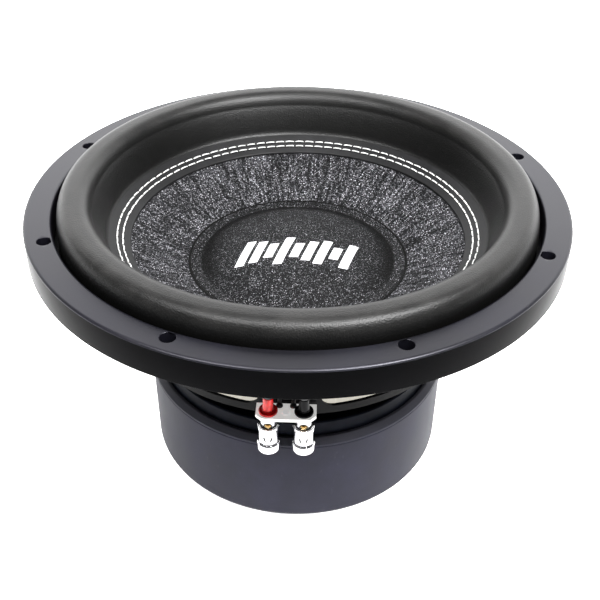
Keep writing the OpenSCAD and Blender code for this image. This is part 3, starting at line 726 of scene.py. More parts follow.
@once
def lead_braid():
    """Black cotton braid over the tinsel: two sets of strands that cross, with copper glints."""
    f = Finish("lead_braid", Sheen_Weight=0.3)
    uv = f.node("ShaderNodeTexCoord", out="UV")
    u, v, _ = f.axes(uv)
    one = ((u * 6 + v * 900) * TAU).math("SINE")
    two = ((u * 6 - v * 900) * TAU).math("SINE")
    high = one.math("MAXIMUM", two) * 0.5 + 0.5
    glint = f.noise(0.5, 2).between(0.68, 0.78) * high
    f.set(Base_Color=f.mix(f.mix((0.006, 0.006, 0.006), (0.04, 0.038, 0.036), high.between(0.5, 1.0)),
                           (0.7, 0.36, 0.18), glint * 0.5),
          Metallic=glint * 0.5,
          Roughness=0.75 - glint * 0.3,
          Normal=f.bump(high, 0.15, 0.8))
    return f.material


@once
def basket_paint():
    """Black powder coat: fine orange peel, edges rubbed to a slight shine, a little dust on flats."""
    base = bpy.context.scene.driver_metal.paint
    f = Finish("basket_paint", Specular_IOR_Level=0.06)
    peel = f.noise(0.9, 3, 0.55)
    patch = f.noise(30, 4, 0.6)
    speck = f.cells(1.4).between(0.14, 0.04) * f.noise(8, 2).between(0.5, 0.75)
    f.set(Base_Color=f.mix(f.mix(base, brighter(base, 1.9), patch.between(0.35, 0.8)),
                           (0.12, 0.12, 0.12), speck * 0.25),
          Roughness=patch * 0.14 + peel * 0.08 + 0.32,
          Normal=f.bump(peel, 0.06, 0.5))
    return f.material


def bare_metal(name, rgb, rough, size, depth):
    """Plain metal: tool marks, darker smudges and a rougher film in patches."""
    f = Finish(name, Metallic=1.0)
    mark = f.noise(size, 4, 0.65)
    smudge = f.noise(12, 4, 0.6)
    f.set(Base_Color=f.mix(brighter(rgb, 0.72), rgb, (mark * 0.4 + smudge * 0.6).between(0.3, 0.6)),
          Roughness=mark * 0.12 + smudge * 0.14 + rough,
          Normal=f.bump(mark, depth, 0.5))
    return f.material


@once
def plate_black():
    """Black passivated steel of the top plate, turned, with fine rings of tool marks."""
    f = Finish("plate_black", Specular_IOR_Level=0.03)
    _, radius = f.polar()
    rings = f.lines(radius, 2600.0)
    patch = f.noise(18, 4, 0.6)
    f.set(Base_Color=f.mix((0.0015, 0.002, 0.004), (0.005, 0.006, 0.01), patch.between(0.3, 0.8)),
          Metallic=patch * 0.04,
          Roughness=rings * 0.12 + patch * 0.15 + 0.24,
          Normal=f.bump(rings, 0.02, 0.4))
    return f.material


@once
def motor_steel():
    """Zinc-plated back plate and pole, turned, with a yellowish passivation in patches."""
    f = Finish("motor_steel")
    _, radius = f.polar()
    rings = f.lines(radius, 2200.0)
    patch = f.noise(16, 4, 0.6)
    f.set(Base_Color=f.mix((0.42, 0.42, 0.43), (0.62, 0.59, 0.5), patch.between(0.3, 0.75)),
          Metallic=1.0,
          Roughness=rings * 0.15 + patch * 0.15 + 0.2,
          Normal=f.bump(rings, 0.03, 0.4))
    return f.material


@once
def ferrite():
    """Ground ferrite: nearly black, dull, with pores and grinding marks."""
    f = Finish("ferrite")
    x, y, z = f.axes()
    ground = f.noise(0.6, 4, 0.7, f.vector(x, y * 0.08, z))
    pores = f.cells(2.2).between(0.12, 0.04)
    f.set(Base_Color=f.mix(f.mix((0.03, 0.03, 0.032), (0.07, 0.07, 0.075), ground.between(0.3, 0.7)),
                           (0.008, 0.008, 0.008), pores),
          Roughness=ground * 0.2 + 0.5,
          Normal=f.bump(ground - pores, 0.05, 0.5))
    return f.material


@once
def screen_wire():
    """Dark woven steel wire."""
    return bare_metal("screen_wire", (0.3, 0.3, 0.31), 0.3, 0.4, 0.02)


@once
def screw_steel():
    """Bright zinc on the cap screws."""
    return bare_metal("screw_steel", (0.66, 0.66, 0.68), 0.2, 0.5, 0.012)


@once
def rivet_metal():
    """Pale aluminium rivets, rubbed dull on their heads, with a painted glow."""
    # painted glow: the rivets emit their own colour so that they blend with the glowing board
    f = Finish("rivet_metal", Emission_Strength=0.5)
    rub = f.noise(0.6, 4, 0.65)
    tone = f.mix((0.72, 0.72, 0.72), (0.9, 0.9, 0.9), rub.between(0.3, 0.6))
    f.set(Base_Color=tone, Emission_Color=tone,
          Metallic=rub * 0.3,
          Roughness=rub * 0.2 + 0.3,
          Normal=f.bump(rub, 0.01, 0.5))
    return f.material


@once
def spring_steel():
    """Drawn spring wire."""
    return bare_metal("spring_steel", (0.62, 0.62, 0.64), 0.22, 0.3, 0.01)


@once
def post_plating():
    """The posts: polished below the board; above it the studs are coloured near-black as painted shade."""
    rgb = bpy.context.scene.driver_metal.chrome
    f = Finish("post_plating")
    x, y, z = f.axes()
    mark = f.noise(0.7, 4, 0.6, f.vector(x, y, z * 0.15))
    # painted shade: the studs above the board are coloured near-black, dull and barely metallic
    above = z.between((BOARD_TOP - 0.6) * MM, (BOARD_TOP + 0.4) * MM)
    tone = f.mix(brighter(rgb, 0.8), rgb, mark.between(0.3, 0.6))
    f.set(Base_Color=f.mix(tone, (0.012, 0.012, 0.014), above),
          Metallic=1 - above * 0.9,
          Roughness=mark * 0.12 + above * 0.25 + 0.06,
          Normal=f.bump(mark, 0.004, 0.5))
    return f.material


@once
def sleeve_plating():
    """The sleeves: polished barrels, with painted shade inside the bore and in two catch slots on the front.
    """
    rgb = bpy.context.scene.driver_metal.chrome
    f = Finish("sleeve_plating")
    x, y, z = f.axes()
    own_x = (x - TERMINAL_X * MM).math("ABSOLUTE") - TERMINAL_HALF * MM
    radius = (own_x ** 2 + (y - RED_AT.y * MM) ** 2).math("SQRT")
    # painted shade: the bore and, below, the two catch slots on the front are coloured nearly black
    inside = radius.between((POST_R + 0.55) * MM, (POST_R + 0.35) * MM)
    tick_z, tick_out, front = 89.4 * MM, 1.85 * MM, -113.5 * MM
    slant = own_x.math("ABSOLUTE") - tick_out - (z - tick_z) * 0.3
    tick = (slant.math("ABSOLUTE").between(0.62 * MM, 0.45 * MM)
            * (z - tick_z).math("ABSOLUTE").between(1.6 * MM, 1.3 * MM) * y.between(front, front - MM))
    dark = inside.math("MAXIMUM", tick)
    mark = f.noise(0.7, 4, 0.6, f.vector(x, y, z * 0.15))
    tone = f.mix(brighter(rgb, 0.85), rgb, mark.between(0.3, 0.6))
    f.set(Base_Color=f.mix(tone, (0.01, 0.01, 0.01), dark),
          Metallic=1 - dark * 0.7,
          Roughness=mark * 0.1 + dark * 0.4 + 0.05,
          Normal=f.bump(mark - tick, 0.01, 0.5))
    return f.material


@once
def contact_brass():
    """Brass or gold-washed contacts, a little tarnished."""
    return bare_metal("contact_brass", bpy.context.scene.driver_metal.brass, 0.18, 0.5, 0.01)


@once
def liner_brass():
    """Brass inside the posts' cross holes, with a dark oxidised rim."""
    rgb = bpy.context.scene.driver_metal.brass
    f = Finish("liner_brass")
    x, _, z = f.axes()
    own_x = (x - TERMINAL_X * MM).math("ABSOLUTE") - TERMINAL_HALF * MM
    rim = (own_x ** 2 + (z - RED_AT.z * MM) ** 2).math("SQRT").between(1.85 * MM, 1.95 * MM)
    tarnish = f.noise(0.8, 3, 0.6)
    tone = f.mix(brighter(rgb, 0.6), rgb, tarnish.between(0.3, 0.6))
    f.set(Base_Color=f.mix(tone, (0.015, 0.014, 0.012), rim),
          Metallic=1 - rim * 0.6,
          Roughness=tarnish * 0.15 + rim * 0.3 + 0.12,
          Normal=f.bump(tarnish, 0.01, 0.5))
    return f.material


@once
def copper_wire():
    """Enamelled round wire: a turn every third of a millimetre, wound side by side."""
    f = Finish("copper_wire", Coat_Roughness=0.15)
    z = f.axes()[2]
    turn = (z * (TAU / (0.34 * MM))).math("SINE") * 0.5 + 0.5
    tone = f.noise(9, 3)
    f.set(Base_Color=f.mix((0.35, 0.12, 0.05), (0.78, 0.36, 0.18), turn.between(0.1, 0.7) * 0.7 + tone * 0.3),
          Metallic=1.0,
          Roughness=0.36 - turn * 0.12,
          Coat_Weight=turn * 0.4,
          Normal=f.bump(turn, 0.12, 0.9))
    return f.material


@once
def former_film():
    """Amber film of the coil former."""
    f = Finish("former_film")
    haze = f.noise(7, 4, 0.6)
    fine = f.noise(0.6, 2)
    f.set(Base_Color=f.mix((0.42, 0.2, 0.05), (0.72, 0.42, 0.14), haze.between(0.3, 0.7)),
          Roughness=haze * 0.2 + fine * 0.05 + 0.2,
          Normal=f.bump(fine, 0.01, 0.4))
    return f.material


@once
def board_fibre():
    """White glass-fibre board: a faint weave under the lacquer, slightly yellowed patches and a painted glow.
    """
    rgb = bpy.context.scene.driver_metal.board
    # painted glow: the board emits its own colour to light it in the ring's shade
    f = Finish("board_fibre", Specular_IOR_Level=0.3, Emission_Strength=0.6)
    x, y, _ = f.axes()
    k = TAU / (0.9 * MM)
    weave = (x * k).math("SINE") * (y * k).math("SINE") * 0.5 + 0.5
    patch = f.noise(5, 4, 0.6)
    tone = f.mix(f.mix(brighter(rgb, 0.86), rgb, weave.between(0.2, 0.8)), (0.7, 0.66, 0.55),
                 patch.between(0.55, 0.8) * 0.3)
    f.set(Base_Color=tone, Emission_Color=tone,
          Roughness=patch * 0.12 + weave * 0.05 + 0.28,
          Normal=f.bump(weave, 0.02, 0.4))
    return f.material


def glossy_plastic(name, rgb, shine):
    """Glossy moulded plastic with soft flow marks and fine wipe scratches."""
    f = Finish(name, Specular_IOR_Level=shine)
    flow = f.noise(2.6, 3, 0.6)
    fine = f.noise(0.25, 3, 0.7)
    f.set(Base_Color=f.mix(brighter(rgb, 0.7), brighter(rgb, 1.15), flow.between(0.3, 0.75)),
          Roughness=flow * 0.1 + fine * 0.06 + 0.1,
          Coat_Weight=flow * shine * 0.4,
          Normal=f.bump(fine, 0.008, 0.5))
    return f.material


@once
def bushing_red():
    """Red bushing."""
    return glossy_plastic("bushing_red", bpy.context.scene.driver_metal.red, 0.4)


@once
def bushing_black():
    """Black bushing."""
    return glossy_plastic("bushing_black", (0.002, 0.002, 0.003), 0.09)


def sealant(name, size, dark, pale, start, gain, depth, gloss):
    """Dried black sealant: lumps of a size in millimetres, with glossy and dull stretches."""
    f = Finish(name, Specular_IOR_Level=gloss)
    lump = f.noise(size, 4, 0.6)
    f.set(Base_Color=f.mix((dark,) * 3, (pale,) * 3, lump.between(start, start + 0.4)),
          Roughness=lump * gain + 0.25,
          Normal=f.bump(lump, depth, 0.6))
    return f.material


@once
def solder_sleeve():
    """Sealant over the soldered ends."""
    return sealant("solder_sleeve", 0.9, 0.006, 0.03, 0.35, 0.25, 0.2, 0.5)


@once
def glue():
    """Adhesive round the dust cap."""
    return sealant("glue", 2.6, 0.0004, 0.002, 0.4, 0.35, 0.3, 0.08)


@once
def pale_floor():
    """Pale paper with a painted glow: weak round the driver, strong far behind it and to its sides, almost
    none ahead of it.
    """
    f = Finish("pale_floor", Roughness=0.9, Specular_IOR_Level=0.1, Emission_Strength=2.4)
    tone = f.noise(60, 2)
    x, y, _ = f.axes()
    # painted light: the floor's glow is weakest near the driver and almost off in front of it
    away = (x.math("ABSOLUTE") * 0.6 + y + 0.12).between(0.0, 0.5)
    ahead = y.between(-0.2, -0.42)
    f.set(Base_Color=f.mix((0.86, 0.86, 0.86), (0.88, 0.88, 0.88), tone),
          Emission_Color=f.mix(f.mix((0.27, 0.27, 0.27), (1.0, 1.0, 1.0), away), (0.02, 0.02, 0.02), ahead))
    return f.material


# ---------------------------------------------------------------- shapes

def lip_height(r):
    """Top of the stitched lip at radius r: one straight slope between its two edges."""
    lip_t = bpy.context.scene.driver_rubber.lip_t / MM
    low = LIP_LOW + lip_t
    return low + (r - LIP_IN) * (LIP_TOP - low) / (LIP_OUT - LIP_IN)


def cone_height(r):
    """Top of the cone's pulp at radius r, parallel to the lip and just under it."""
    co = vertices("cone")
    rad = np.hypot(co[:, 0], co[:, 1])
    top_out = co[rad > CONE_OUT - 3][:, 2].max()
    r_out = rad[co[:, 2] > CONE_TOP - 1e-3].mean()
    top_in = co[rad < NECK_R + 0.3][:, 2].max()
    return top_in + (r - NECK_R) * (top_out - top_in) / (r_out - NECK_R)


def roll_profile():
    """Outline of the roll: the foot under the ring, a squared-off ellipse over the crest, a curve that
    runs out to the lip, and the same line again one wall further in."""
    s = bpy.context.scene.driver_rubber
    wall = s.roll_t / MM
    _, out_r, base_z, _ = reach("surround", RING_LOW + 6.01)
    co = vertices("surround")
    rad = np.hypot(co[:, 0], co[:, 1])
    in_r = rad[co[:, 2] > base_z + 1].min()
    mid_r, half = (out_r + in_r) / 2, (out_r - in_r) / 2
    a = np.linspace(0, math.pi, 73)

    def arch(w, h):
        c, e = np.cos(a), np.sin(a)
        return np.stack([mid_r + w * np.sign(c) * np.abs(c) ** (2 / s.roll_power),
                         base_z + h * np.abs(e) ** (2 / s.roll_power)], 1)

    def leaning(points):
        """The inner wall leans inwards below the crest."""
        share = np.clip((CREST_Z - 8 - points[:, 1]) / 17, 0, 1) * (points[:, 0] < mid_r)
        return points - share[:, None] * [5, 0]

    def toe(side, drop):
        t = np.linspace(0, 1, 9)[1:, None]
        p1 = np.array([TOE_R + 0.6 + side, lip_height(TOE_R) + 0.3 - drop * 0.6])
        p2 = np.array([TOE_R - 0.7 + side * 0.4, lip_height(TOE_R - 0.7) + 0.05 - drop])
        p0 = leaning(np.array([[in_r + side, base_z]]))[0]
        return (1 - t) ** 2 * p0 + 2 * t * (1 - t) * p1 + t ** 2 * p2

    crest = CREST_Z - base_z
    outer, inner = leaning(arch(half, crest)), leaning(arch(half - wall, crest - wall))
    foot = [[out_r - wall, FOOT_LOW], [FOOT_R - 0.4, FOOT_LOW], [FOOT_R, FOOT_LOW + 0.4],
            [FOOT_R, FOOT_LOW + 1.2], [FOOT_R - 0.4, FOOT_LOW + 1.6], [out_r + 0.9, FOOT_LOW + 1.6],
            [out_r + 0.25, FOOT_LOW + 1.85], [out_r, FOOT_LOW + 2.5]]
    return np.vstack([foot, outer, toe(0, 0), toe(wall, wall)[::-1], inner[::-1]])


def hole_plate(sector, steps):
    """Flat ring face between two radii with a round hole: a sector's edge is walked once round, and each
    of its points is joined to the hole's edge by a line that is straight in radius and angle, so that
    the face stays between its two circles. Returns points and the hole's edge."""
    r_in, r_out, hub_r, hole_r, holes, z = sector
    n_arc, n_side = steps
    half = math.pi / holes
    a = np.linspace(-half, half, n_arc + 1)[:-1]
    side = np.linspace(0, 1, n_side + 1)[:-1]
    edge = np.concatenate([
        np.stack([np.full(n_arc, r_out), a], 1),
        np.stack([r_out + (r_in - r_out) * side, np.full(n_side, half)], 1),
        np.stack([np.full(n_arc, r_in), -a], 1),
        np.stack([r_in + (r_out - r_in) * side, np.full(n_side, -half)], 1)])
    way = np.arctan2(edge[:, 1] * hub_r, edge[:, 0] - hub_r)
    rim = np.stack([hub_r + hole_r * np.cos(way), hole_r * np.sin(way)], 1)
    rim_edge = np.stack([np.hypot(rim[:, 0], rim[:, 1]), np.arctan2(rim[:, 1], rim[:, 0])], 1)
    t = (np.linspace(0, 1, 9) ** 1.6)[:, None, None]
    r, turn = np.moveaxis(rim_edge + t * (edge - rim_edge), -1, 0)
    return np.stack([r * np.cos(turn), r * np.sin(turn), np.full(r.shape, z)], -1), rim


def ring_mesh():
    """The trim ring: a face with eight holes, holes with a rounded mouth and a straight wall, and the
    rest of the section turned round the axis."""
    s = bpy.context.scene.driver_rubber
    rnd, hole_r, holes = s.ring_round / MM, s.hole_d / MM / 2, BOLTS["count"]
    n_arc, n_side = 46, 14
    mouth = 0.35
    strip = 0.35
    edge_in, edge_out = RING_IN + rnd + strip, RING_OUT - rnd - strip
    co, rim = hole_plate((edge_in, edge_out, BOLT_R, hole_r + mouth, holes, RING_TOP), (n_arc, n_side))
    a = np.linspace(0, math.pi / 2, 5)[1:]
    depth = np.concatenate([mouth * (1 - np.cos(a)), [6, RING_TOP - RING_LOW - 2]])
    shrink = np.concatenate([mouth * np.sin(a), [mouth, mouth]])
    centre = np.array([BOLT_R, 0.0])
    way = (rim - centre) / np.linalg.norm(rim - centre, axis=1, keepdims=True)
    wall = np.stack([
        np.concatenate([centre + way * (hole_r + mouth - k), np.full((len(rim), 1), RING_TOP - d)], 1)
        for k, d in zip(shrink, depth)])
    patch = np.concatenate([wall[::-1], co])
    rows, cols = patch.shape[:2]
    faces = grid_faces(rows, cols, wrap_cols=True)
    parts = []
    for k in range(holes):
        turn = (k + 0.5) * TAU / holes
        rot = np.array(Matrix.Rotation(turn, 3, "Z"))
        parts.append((patch.reshape(-1, 3) @ rot.T, faces[:, ::-1].tolist()))
    section = filleted([
        [RING_OUT, RING_LOW], [RING_OUT, RING_TOP], [edge_out, RING_TOP],
        [edge_in, RING_TOP], [RING_IN, RING_TOP], [RING_IN, RING_LOW + 3.8],
        [RING_OUT - 3, RING_LOW + 3.8], [RING_OUT - 3, RING_LOW]], [0.4, rnd, 0, 0, rnd, 0.3, 0.3, 0.2], 7)
    top = np.argmax(np.abs(section[:, 0] - edge_in) < 1e-6)
    section = np.roll(section, -top, axis=0)
    steps = n_arc * holes
    turned_co, turned_faces = turned(section, steps, closed=True)
    gap_rows = len(section) - 1
    keep = [f for f in turned_faces if not ({v // steps for v in f} == {gap_rows, 0})]
    parts.append((turned_co, keep))
    return joined(parts)


def stitch_row(radius):
    """A row of stitches round the lip: each is a short thread that rises from its hole, lies along the
    lip and dives again, with a flattened round section."""
    s = bpy.context.scene.driver_thread
    n, wide = s.stitches, s.width / MM / 2
    reach_a = TAU / n * s.fill / 2
    t = np.array([-1.0, -0.86, -0.45, 0.0, 0.45, 0.86, 1.0])
    rise = np.array([-0.55, 0.05, 0.3, 0.34, 0.3, 0.05, -0.55])
    fat = np.array([0.62, 0.92, 1.0, 1.0, 1.0, 0.92, 0.62])
    sides = 8
    b = np.arange(sides) * TAU / sides
    slope = math.atan((lip_height(LIP_OUT) - lip_height(LIP_IN)) / (LIP_OUT - LIP_IN))
    rng = np.random.default_rng(41 + int(radius))
    skew = rng.normal(0, 0.1, (n, 1, 1))
    grow = 1 + rng.normal(0, 0.03, (n, 1, 1))
    k = np.arange(n)[:, None, None]
    along = (k + 0.5) * TAU / n + t[None, :, None] * reach_a * grow
    out = wide * fat[None, :, None] * np.cos(b) + skew * t[None, :, None]
    up = wide * 0.62 * fat[None, :, None] * np.sin(b) + rise[None, :, None]
    r = radius + out * math.cos(slope) - up * math.sin(slope)
    z = lip_height(radius) + out * math.sin(slope) + up * math.cos(slope)
    r, z, along = np.broadcast_arrays(r, z, along)
    co = np.stack([r * np.cos(along), r * np.sin(along), z], -1)
    one = grid_faces(len(t), sides, wrap_cols=True)[:, ::-1]
    size = len(t) * sides
    faces = (one[None] + (np.arange(n) * size)[:, None, None]).reshape(-1, 4).tolist()
    ends = np.arange(sides)
    for start in np.arange(n) * size:
        faces.append((start + ends).tolist())
        faces.append((start + size - sides + ends[::-1]).tolist())
    uv_u = np.broadcast_to(np.arange(sides) / sides, (n, len(t), sides))
    uv_v = np.broadcast_to((t * reach_a * radius * MM)[None, :, None], (n, len(t), sides))
    return co.reshape(-1, 3), faces, np.stack([uv_u, uv_v], -1).reshape(-1, 2)


def lip_mesh(rows):
    """The stitched lip: a thin band on the cone's slope with a rounded inner edge; each row of stitches
    lies in a shallow trough with a dimple at every needle hole."""
    lip_t = bpy.context.scene.driver_rubber.lip_t / MM
    n = bpy.context.scene.driver_thread.stitches
    fine = np.linspace(LIP_OUT - 0.15, LIP_IN + 0.9, 34)
    edge = filleted([[LIP_OUT, lip_height(LIP_OUT)], [LIP_IN, lip_height(LIP_IN)],
                     [LIP_IN, lip_height(LIP_IN) - lip_t], [LIP_OUT, lip_height(LIP_OUT) - lip_t]],
                    [0, 0.7, 0.2, 0], 6)
    profile = np.vstack([np.stack([fine, lip_height(fine)], 1), edge[1:], edge[:1]])
    steps = 12 * n
    a = (np.arange(steps) / steps * n)[None]
    r = profile[:, :1]
    is_top = np.abs(profile[:, 1:] - lip_height(r)) < 1e-6
    lift = np.zeros((len(profile), steps))
    for radius in rows:
        across = np.exp(-((r - radius) / 0.75) ** 2)
        hole = np.exp(-((a - np.round(a)) * TAU * radius / n / 0.7) ** 2)
        lift -= across * (0.16 + 0.38 * hole)
    band = lattice_noise(a / n, (r - LIP_IN) / (LIP_OUT - LIP_IN), 90, 3, 7)
    lift += (band - 0.5) * 0.12
    return turned(profile, steps, lift=lift * is_top)


def pulp_relief(u, v, width):
    """Relief of the rough pulp, -1 to 1: drawn-out radial ridges, round lumps and a fine crumb. u runs
    round, v across a band of width millimetres."""
    ridges = (lattice_noise(u, v, 250, int(width / 9), 1) * 0.6
              + lattice_noise(u, v, 420, int(width / 5), 2) * 0.4)
    lumps = (lattice_noise(u, v, 260, int(width / 2.3), 3) * 0.6
             + lattice_noise(u, v, 400, int(width / 1.4), 4) * 0.4)
    crumb = np.random.default_rng(5).random(np.broadcast_shapes(u.shape, v.shape))
    folds = np.abs(2 * ridges - 1)
    return 0.55 * (1 - 2.4 * folds) * v ** 0.7 + 0.9 * (lumps - 0.5) + 0.35 * (crumb - 0.5)


def cone_mesh():
    """The cone: a straight slope from the neck to the lip, one wall thick. Its face is rough where it
    shows, between the cap and the lip, and its back is rough all over."""
    s = bpy.context.scene.driver_pulp
    steps = 880
    wall = s.cone_t / MM * math.hypot(1, (cone_height(1.0) - cone_height(0.0)))
    rough_in, rough_out = CAP_R - 4, LIP_OUT - 3
    inner = np.linspace(NECK_R, rough_in, 6)[:-1]
    band = np.linspace(rough_in, LIP_IN + 1.4, 76)
    outer = np.array([LIP_IN + 4, rough_out, CONE_OUT - 0.6])
    top_r = np.concatenate([inner, band, outer])
    top = np.stack([top_r, cone_height(top_r)], 1)
    edge = np.array([[CONE_OUT, cone_height(CONE_OUT - 0.6) - wall / 2]])
    back_r = np.linspace(CONE_OUT - 0.6, NECK_R + 3, 24)
    back = np.stack([back_r, cone_height(back_r) - wall], 1)
    neck = np.array([[NECK_R + 0.8, CONE_LOW], [NECK_R, CONE_LOW]])
    profile = np.vstack([top, edge, back, neck])
    u = (np.arange(steps) / steps)[None]
    r = profile[:, :1]
    v = np.clip((r - rough_in) / (LIP_IN - rough_in), 0, 1)
    relief = pulp_relief(u, v, LIP_IN - rough_in) * s.relief / MM
    is_top = np.arange(len(profile))[:, None] < len(top)
    shown = eased(r, rough_in, rough_in + 2) * (1 - eased(r, LIP_IN, LIP_IN + 2.5))
    row = np.arange(len(profile))[:, None]
    back_shown = (row > len(top)) & (row < len(profile) - 2)
    back_relief = (lattice_noise(u, (r - NECK_R) / (CONE_OUT - NECK_R), 220, 30, 6) - 0.5) * 0.5
    lift = (relief - 0.2) * shown * is_top + back_relief * back_shown
    return turned(profile, steps, lift=lift)


def cap_mesh():
    """The dust cap: a part of a ball over a flat glued lip, joined by a small hollow curve, with a fine
    rough face; its underside is the same ball one wall further in."""
    s = bpy.context.scene.driver_pulp
    cap_t, lip_w = s.cap_t / MM, s.cap_lip_w / MM
    dome_r = CAP_R - lip_w
    lip_out_z = cone_height(CAP_R) + 0.05 + cap_t
    foot_z = lip_out_z - lip_w * 0.17
    rise = CAP_TOP - foot_z
    ball = (dome_r ** 2 + rise ** 2) / (2 * rise)
    centre_z = foot_z + rise - ball
    r = np.linspace(0.4, dome_r - 1.6, 118)
    dome = np.stack([r, centre_z + np.sqrt(ball ** 2 - r ** 2)], 1)
    t = np.linspace(0, 1, 9)[1:-1, None]
    p0, p1, p2 = dome[-1], np.array([dome_r, foot_z]), np.array([dome_r + 1.3, foot_z + 1.3 * 0.17])
    hollow = (1 - t) ** 2 * p0 + 2 * t * (1 - t) * p1 + t ** 2 * p2
    flat_r = np.linspace(dome_r + 1.3, CAP_R - 0.7, 11)
    flat = np.stack([flat_r, foot_z + (flat_r - dome_r) * 0.17], 1)
    rim = filleted([[CAP_R - 0.7, lip_out_z - 0.12], [CAP_R, lip_out_z - 0.02],
                    [CAP_R, lip_out_z - cap_t + 0.05], [CAP_R - 1.5, lip_out_z - cap_t - 0.21]],
                   [0, 0.4, 0.2, 0], 4)[1:]
    under_foot = np.array([[dome_r, foot_z - cap_t]])
    ri = np.linspace(dome_r - 1.6, 0.4, 24)
    under = np.stack([ri, centre_z + np.sqrt((ball - cap_t) ** 2 - ri ** 2)], 1)
    profile = np.vstack([dome, hollow, flat, rim, under_foot, under])
    steps = 540
    u = (np.arange(steps) / steps)[None]
    rr = profile[:, :1]
    x, y = rr * np.cos(u * TAU), rr * np.sin(u * TAU)
    side = 2 * CAP_R
    gx, gy = x / side / 1.05 + 0.5, y / side / 1.05 + 0.5
    bumps = lattice_noise(gx, gy, 110, 110, 8) * 0.6 + lattice_noise(gx, gy, 170, 170, 9) * 0.4
    is_top = (np.arange(len(profile)) < len(dome) + len(hollow) + len(flat))[:, None]
    lift = (bumps - 0.5) * 2 * s.cap_relief / MM * is_top
    lift[0] = lift[0].mean()
    return turned(profile, steps, closed=False, lift=lift)


def spider_mesh():
    """The spider: a sine wave across the radius between a flat neck and a flat rim, as a cloth of even
    thickness whose second face lies square to the first."""
    s = bpy.context.scene.driver_spider
    co = vertices("spider")
    rad = np.hypot(co[:, 0], co[:, 1])
    rest_z = co[rad > SPIDER_OUT - 0.5][:, 2].max()
    cloth = rest_z - co[rad > SPIDER_OUT - 0.5][:, 2].min()
    wave_h = (SPIDER_TOP - rest_z) * 0.96
    flat_in = SPIDER_IN + 7
    crests = rad[co[:, 2] > SPIDER_TOP - 0.02]
    pitch = (crests.max() - crests.min()) / (s.waves - 1)
    flat_out = flat_in + pitch * s.waves
    r = np.concatenate([np.linspace(SPIDER_IN, flat_in, 6)[:-1],
                        np.linspace(flat_in, flat_out, 20 * s.waves + 1),
                        np.linspace(flat_out, SPIDER_OUT - 0.1, 8)[1:]])
    x = np.clip((r - flat_in) / (flat_out - flat_in), 0, 1)
    ends = eased(x, 0, 0.05) * (1 - eased(x, 0.95, 1))
    z = rest_z - cloth / 2 + wave_h * np.sin(x * s.waves * TAU) * ends
    mid = np.stack([r, z], 1)
    along = np.gradient(mid, axis=0)
    along /= np.linalg.norm(along, axis=1, keepdims=True)
    square = np.stack([-along[:, 1], along[:, 0]], 1) * (cloth / 2 - 0.02)
    profile = np.vstack([mid + square, (mid - square)[::-1]])
    return turned(profile, 216), flat_in, flat_out


def boot_mesh():
    """The boot: a cup with a bevelled rim, a mould line below it, a wall that bulges slightly and a
    rounded foot, open at the vent."""
    s = bpy.context.scene.driver_rubber
    bevel, rnd = s.boot_bevel / MM, s.boot_round / MM
    inner_r = reach("magnet_lower")[1]
    floor_z = reach("back_plate")[2]
    line = BOOT_TOP - bevel - 1.6
    outline = [
        [BOOT_VENT_R, BOOT_LOW], [BOOT_R - 22, BOOT_LOW], [BOOT_R - 20.5, BOOT_LOW + 0.5],
        [BOOT_R - 12, BOOT_LOW + 0.5], [BOOT_R - 10.5, BOOT_LOW], [BOOT_R - 0.25, BOOT_LOW],
        [BOOT_R - 0.05, line - 0.5],
        [BOOT_R - 0.3, line - 0.22], [BOOT_R - 0.3, line + 0.22], [BOOT_R, line + 0.5],
        [BOOT_R, BOOT_TOP - bevel], [BOOT_R - bevel, BOOT_TOP], [inner_r + 0.05, BOOT_TOP],
        [inner_r + 0.05, floor_z - 0.02], [BOOT_VENT_R, floor_z - 0.02]]
    radii = [0.4, 0.4, 0.4, 0.4, 0.4, rnd, 0.15, 0.1, 0.1, 0.15, 0.7, 0.7, 0.3, 0.1, 0.4]
    return turned(filleted(outline, radii, 6), 300)


def sleeve_profile(low, top, rim_r, bore):
    """Section of a terminal's sleeve: a rim at the mouth, a slimmer barrel with two turned lines."""
    barrel = rim_r - 0.4
    groove = barrel - 0.12
    return filleted([
        [bore, low], [barrel, low], [barrel, low + 5.2], [groove, low + 5.4], [groove, low + 5.7],
        [barrel, low + 5.9], [barrel, top - 3.4], [rim_r, top - 2.9], [rim_r, top], [bore, top]],
        [0.1, 0.1, 0.1, 0.1, 0.1, 0.1, 0.4, 0.4, 0.5, 0.3], 5)


def grip_profile(low, top, r, bore):
    """Section of a grip: a plain cup with a full round foot and a chamfer at its mouth."""
    floor = low + 1.5
    return filleted([[0.01, low], [r, low], [r, top - 0.7], [bore + 0.25, top], [bore, top],
                     [bore, floor], [0.01, floor]], [0, 1.7, 0.35, 0.15, 0.1, 0.1, 0], 8)


def bushing_profile(low, flange_r, flange_t, boss_r, top, bore):
    """Section of a bushing: a domed flange and a boss with a filleted foot and a rounded head."""
    flange_top = low + flange_t
    return filleted([[bore, low], [flange_r, low], [flange_r, flange_top],
                     [boss_r + 0.1, flange_top + 0.2], [boss_r - 0.15, top], [bore, top]],
                    [0.1, 0.25, 0.6, 0.7, 0.7, 0.2], 6)


def hole_liner(centre, post_r, outer, inner):
    """A thin brass lining in a post's cross hole: the hole's wall runs along Y, and each end follows
    the post's round side."""
    a = np.arange(48) * TAU / 48
    rings = []
    for rad, sign, trim in ((outer, -1, 0.02), (outer, 1, 0.02), (inner, 1, 0.45), (inner, -1, 0.45)):
        x, z = rad * np.cos(a), rad * np.sin(a)
        y = sign * (np.sqrt(post_r ** 2 - x ** 2) - trim)
        rings.append(np.stack([x + centre[0], y + centre[1], z + centre[2]], 1))
    return np.vstack(rings), grid_faces(4, len(a), wrap_rows=True, wrap_cols=True)[:, ::-1].tolist()


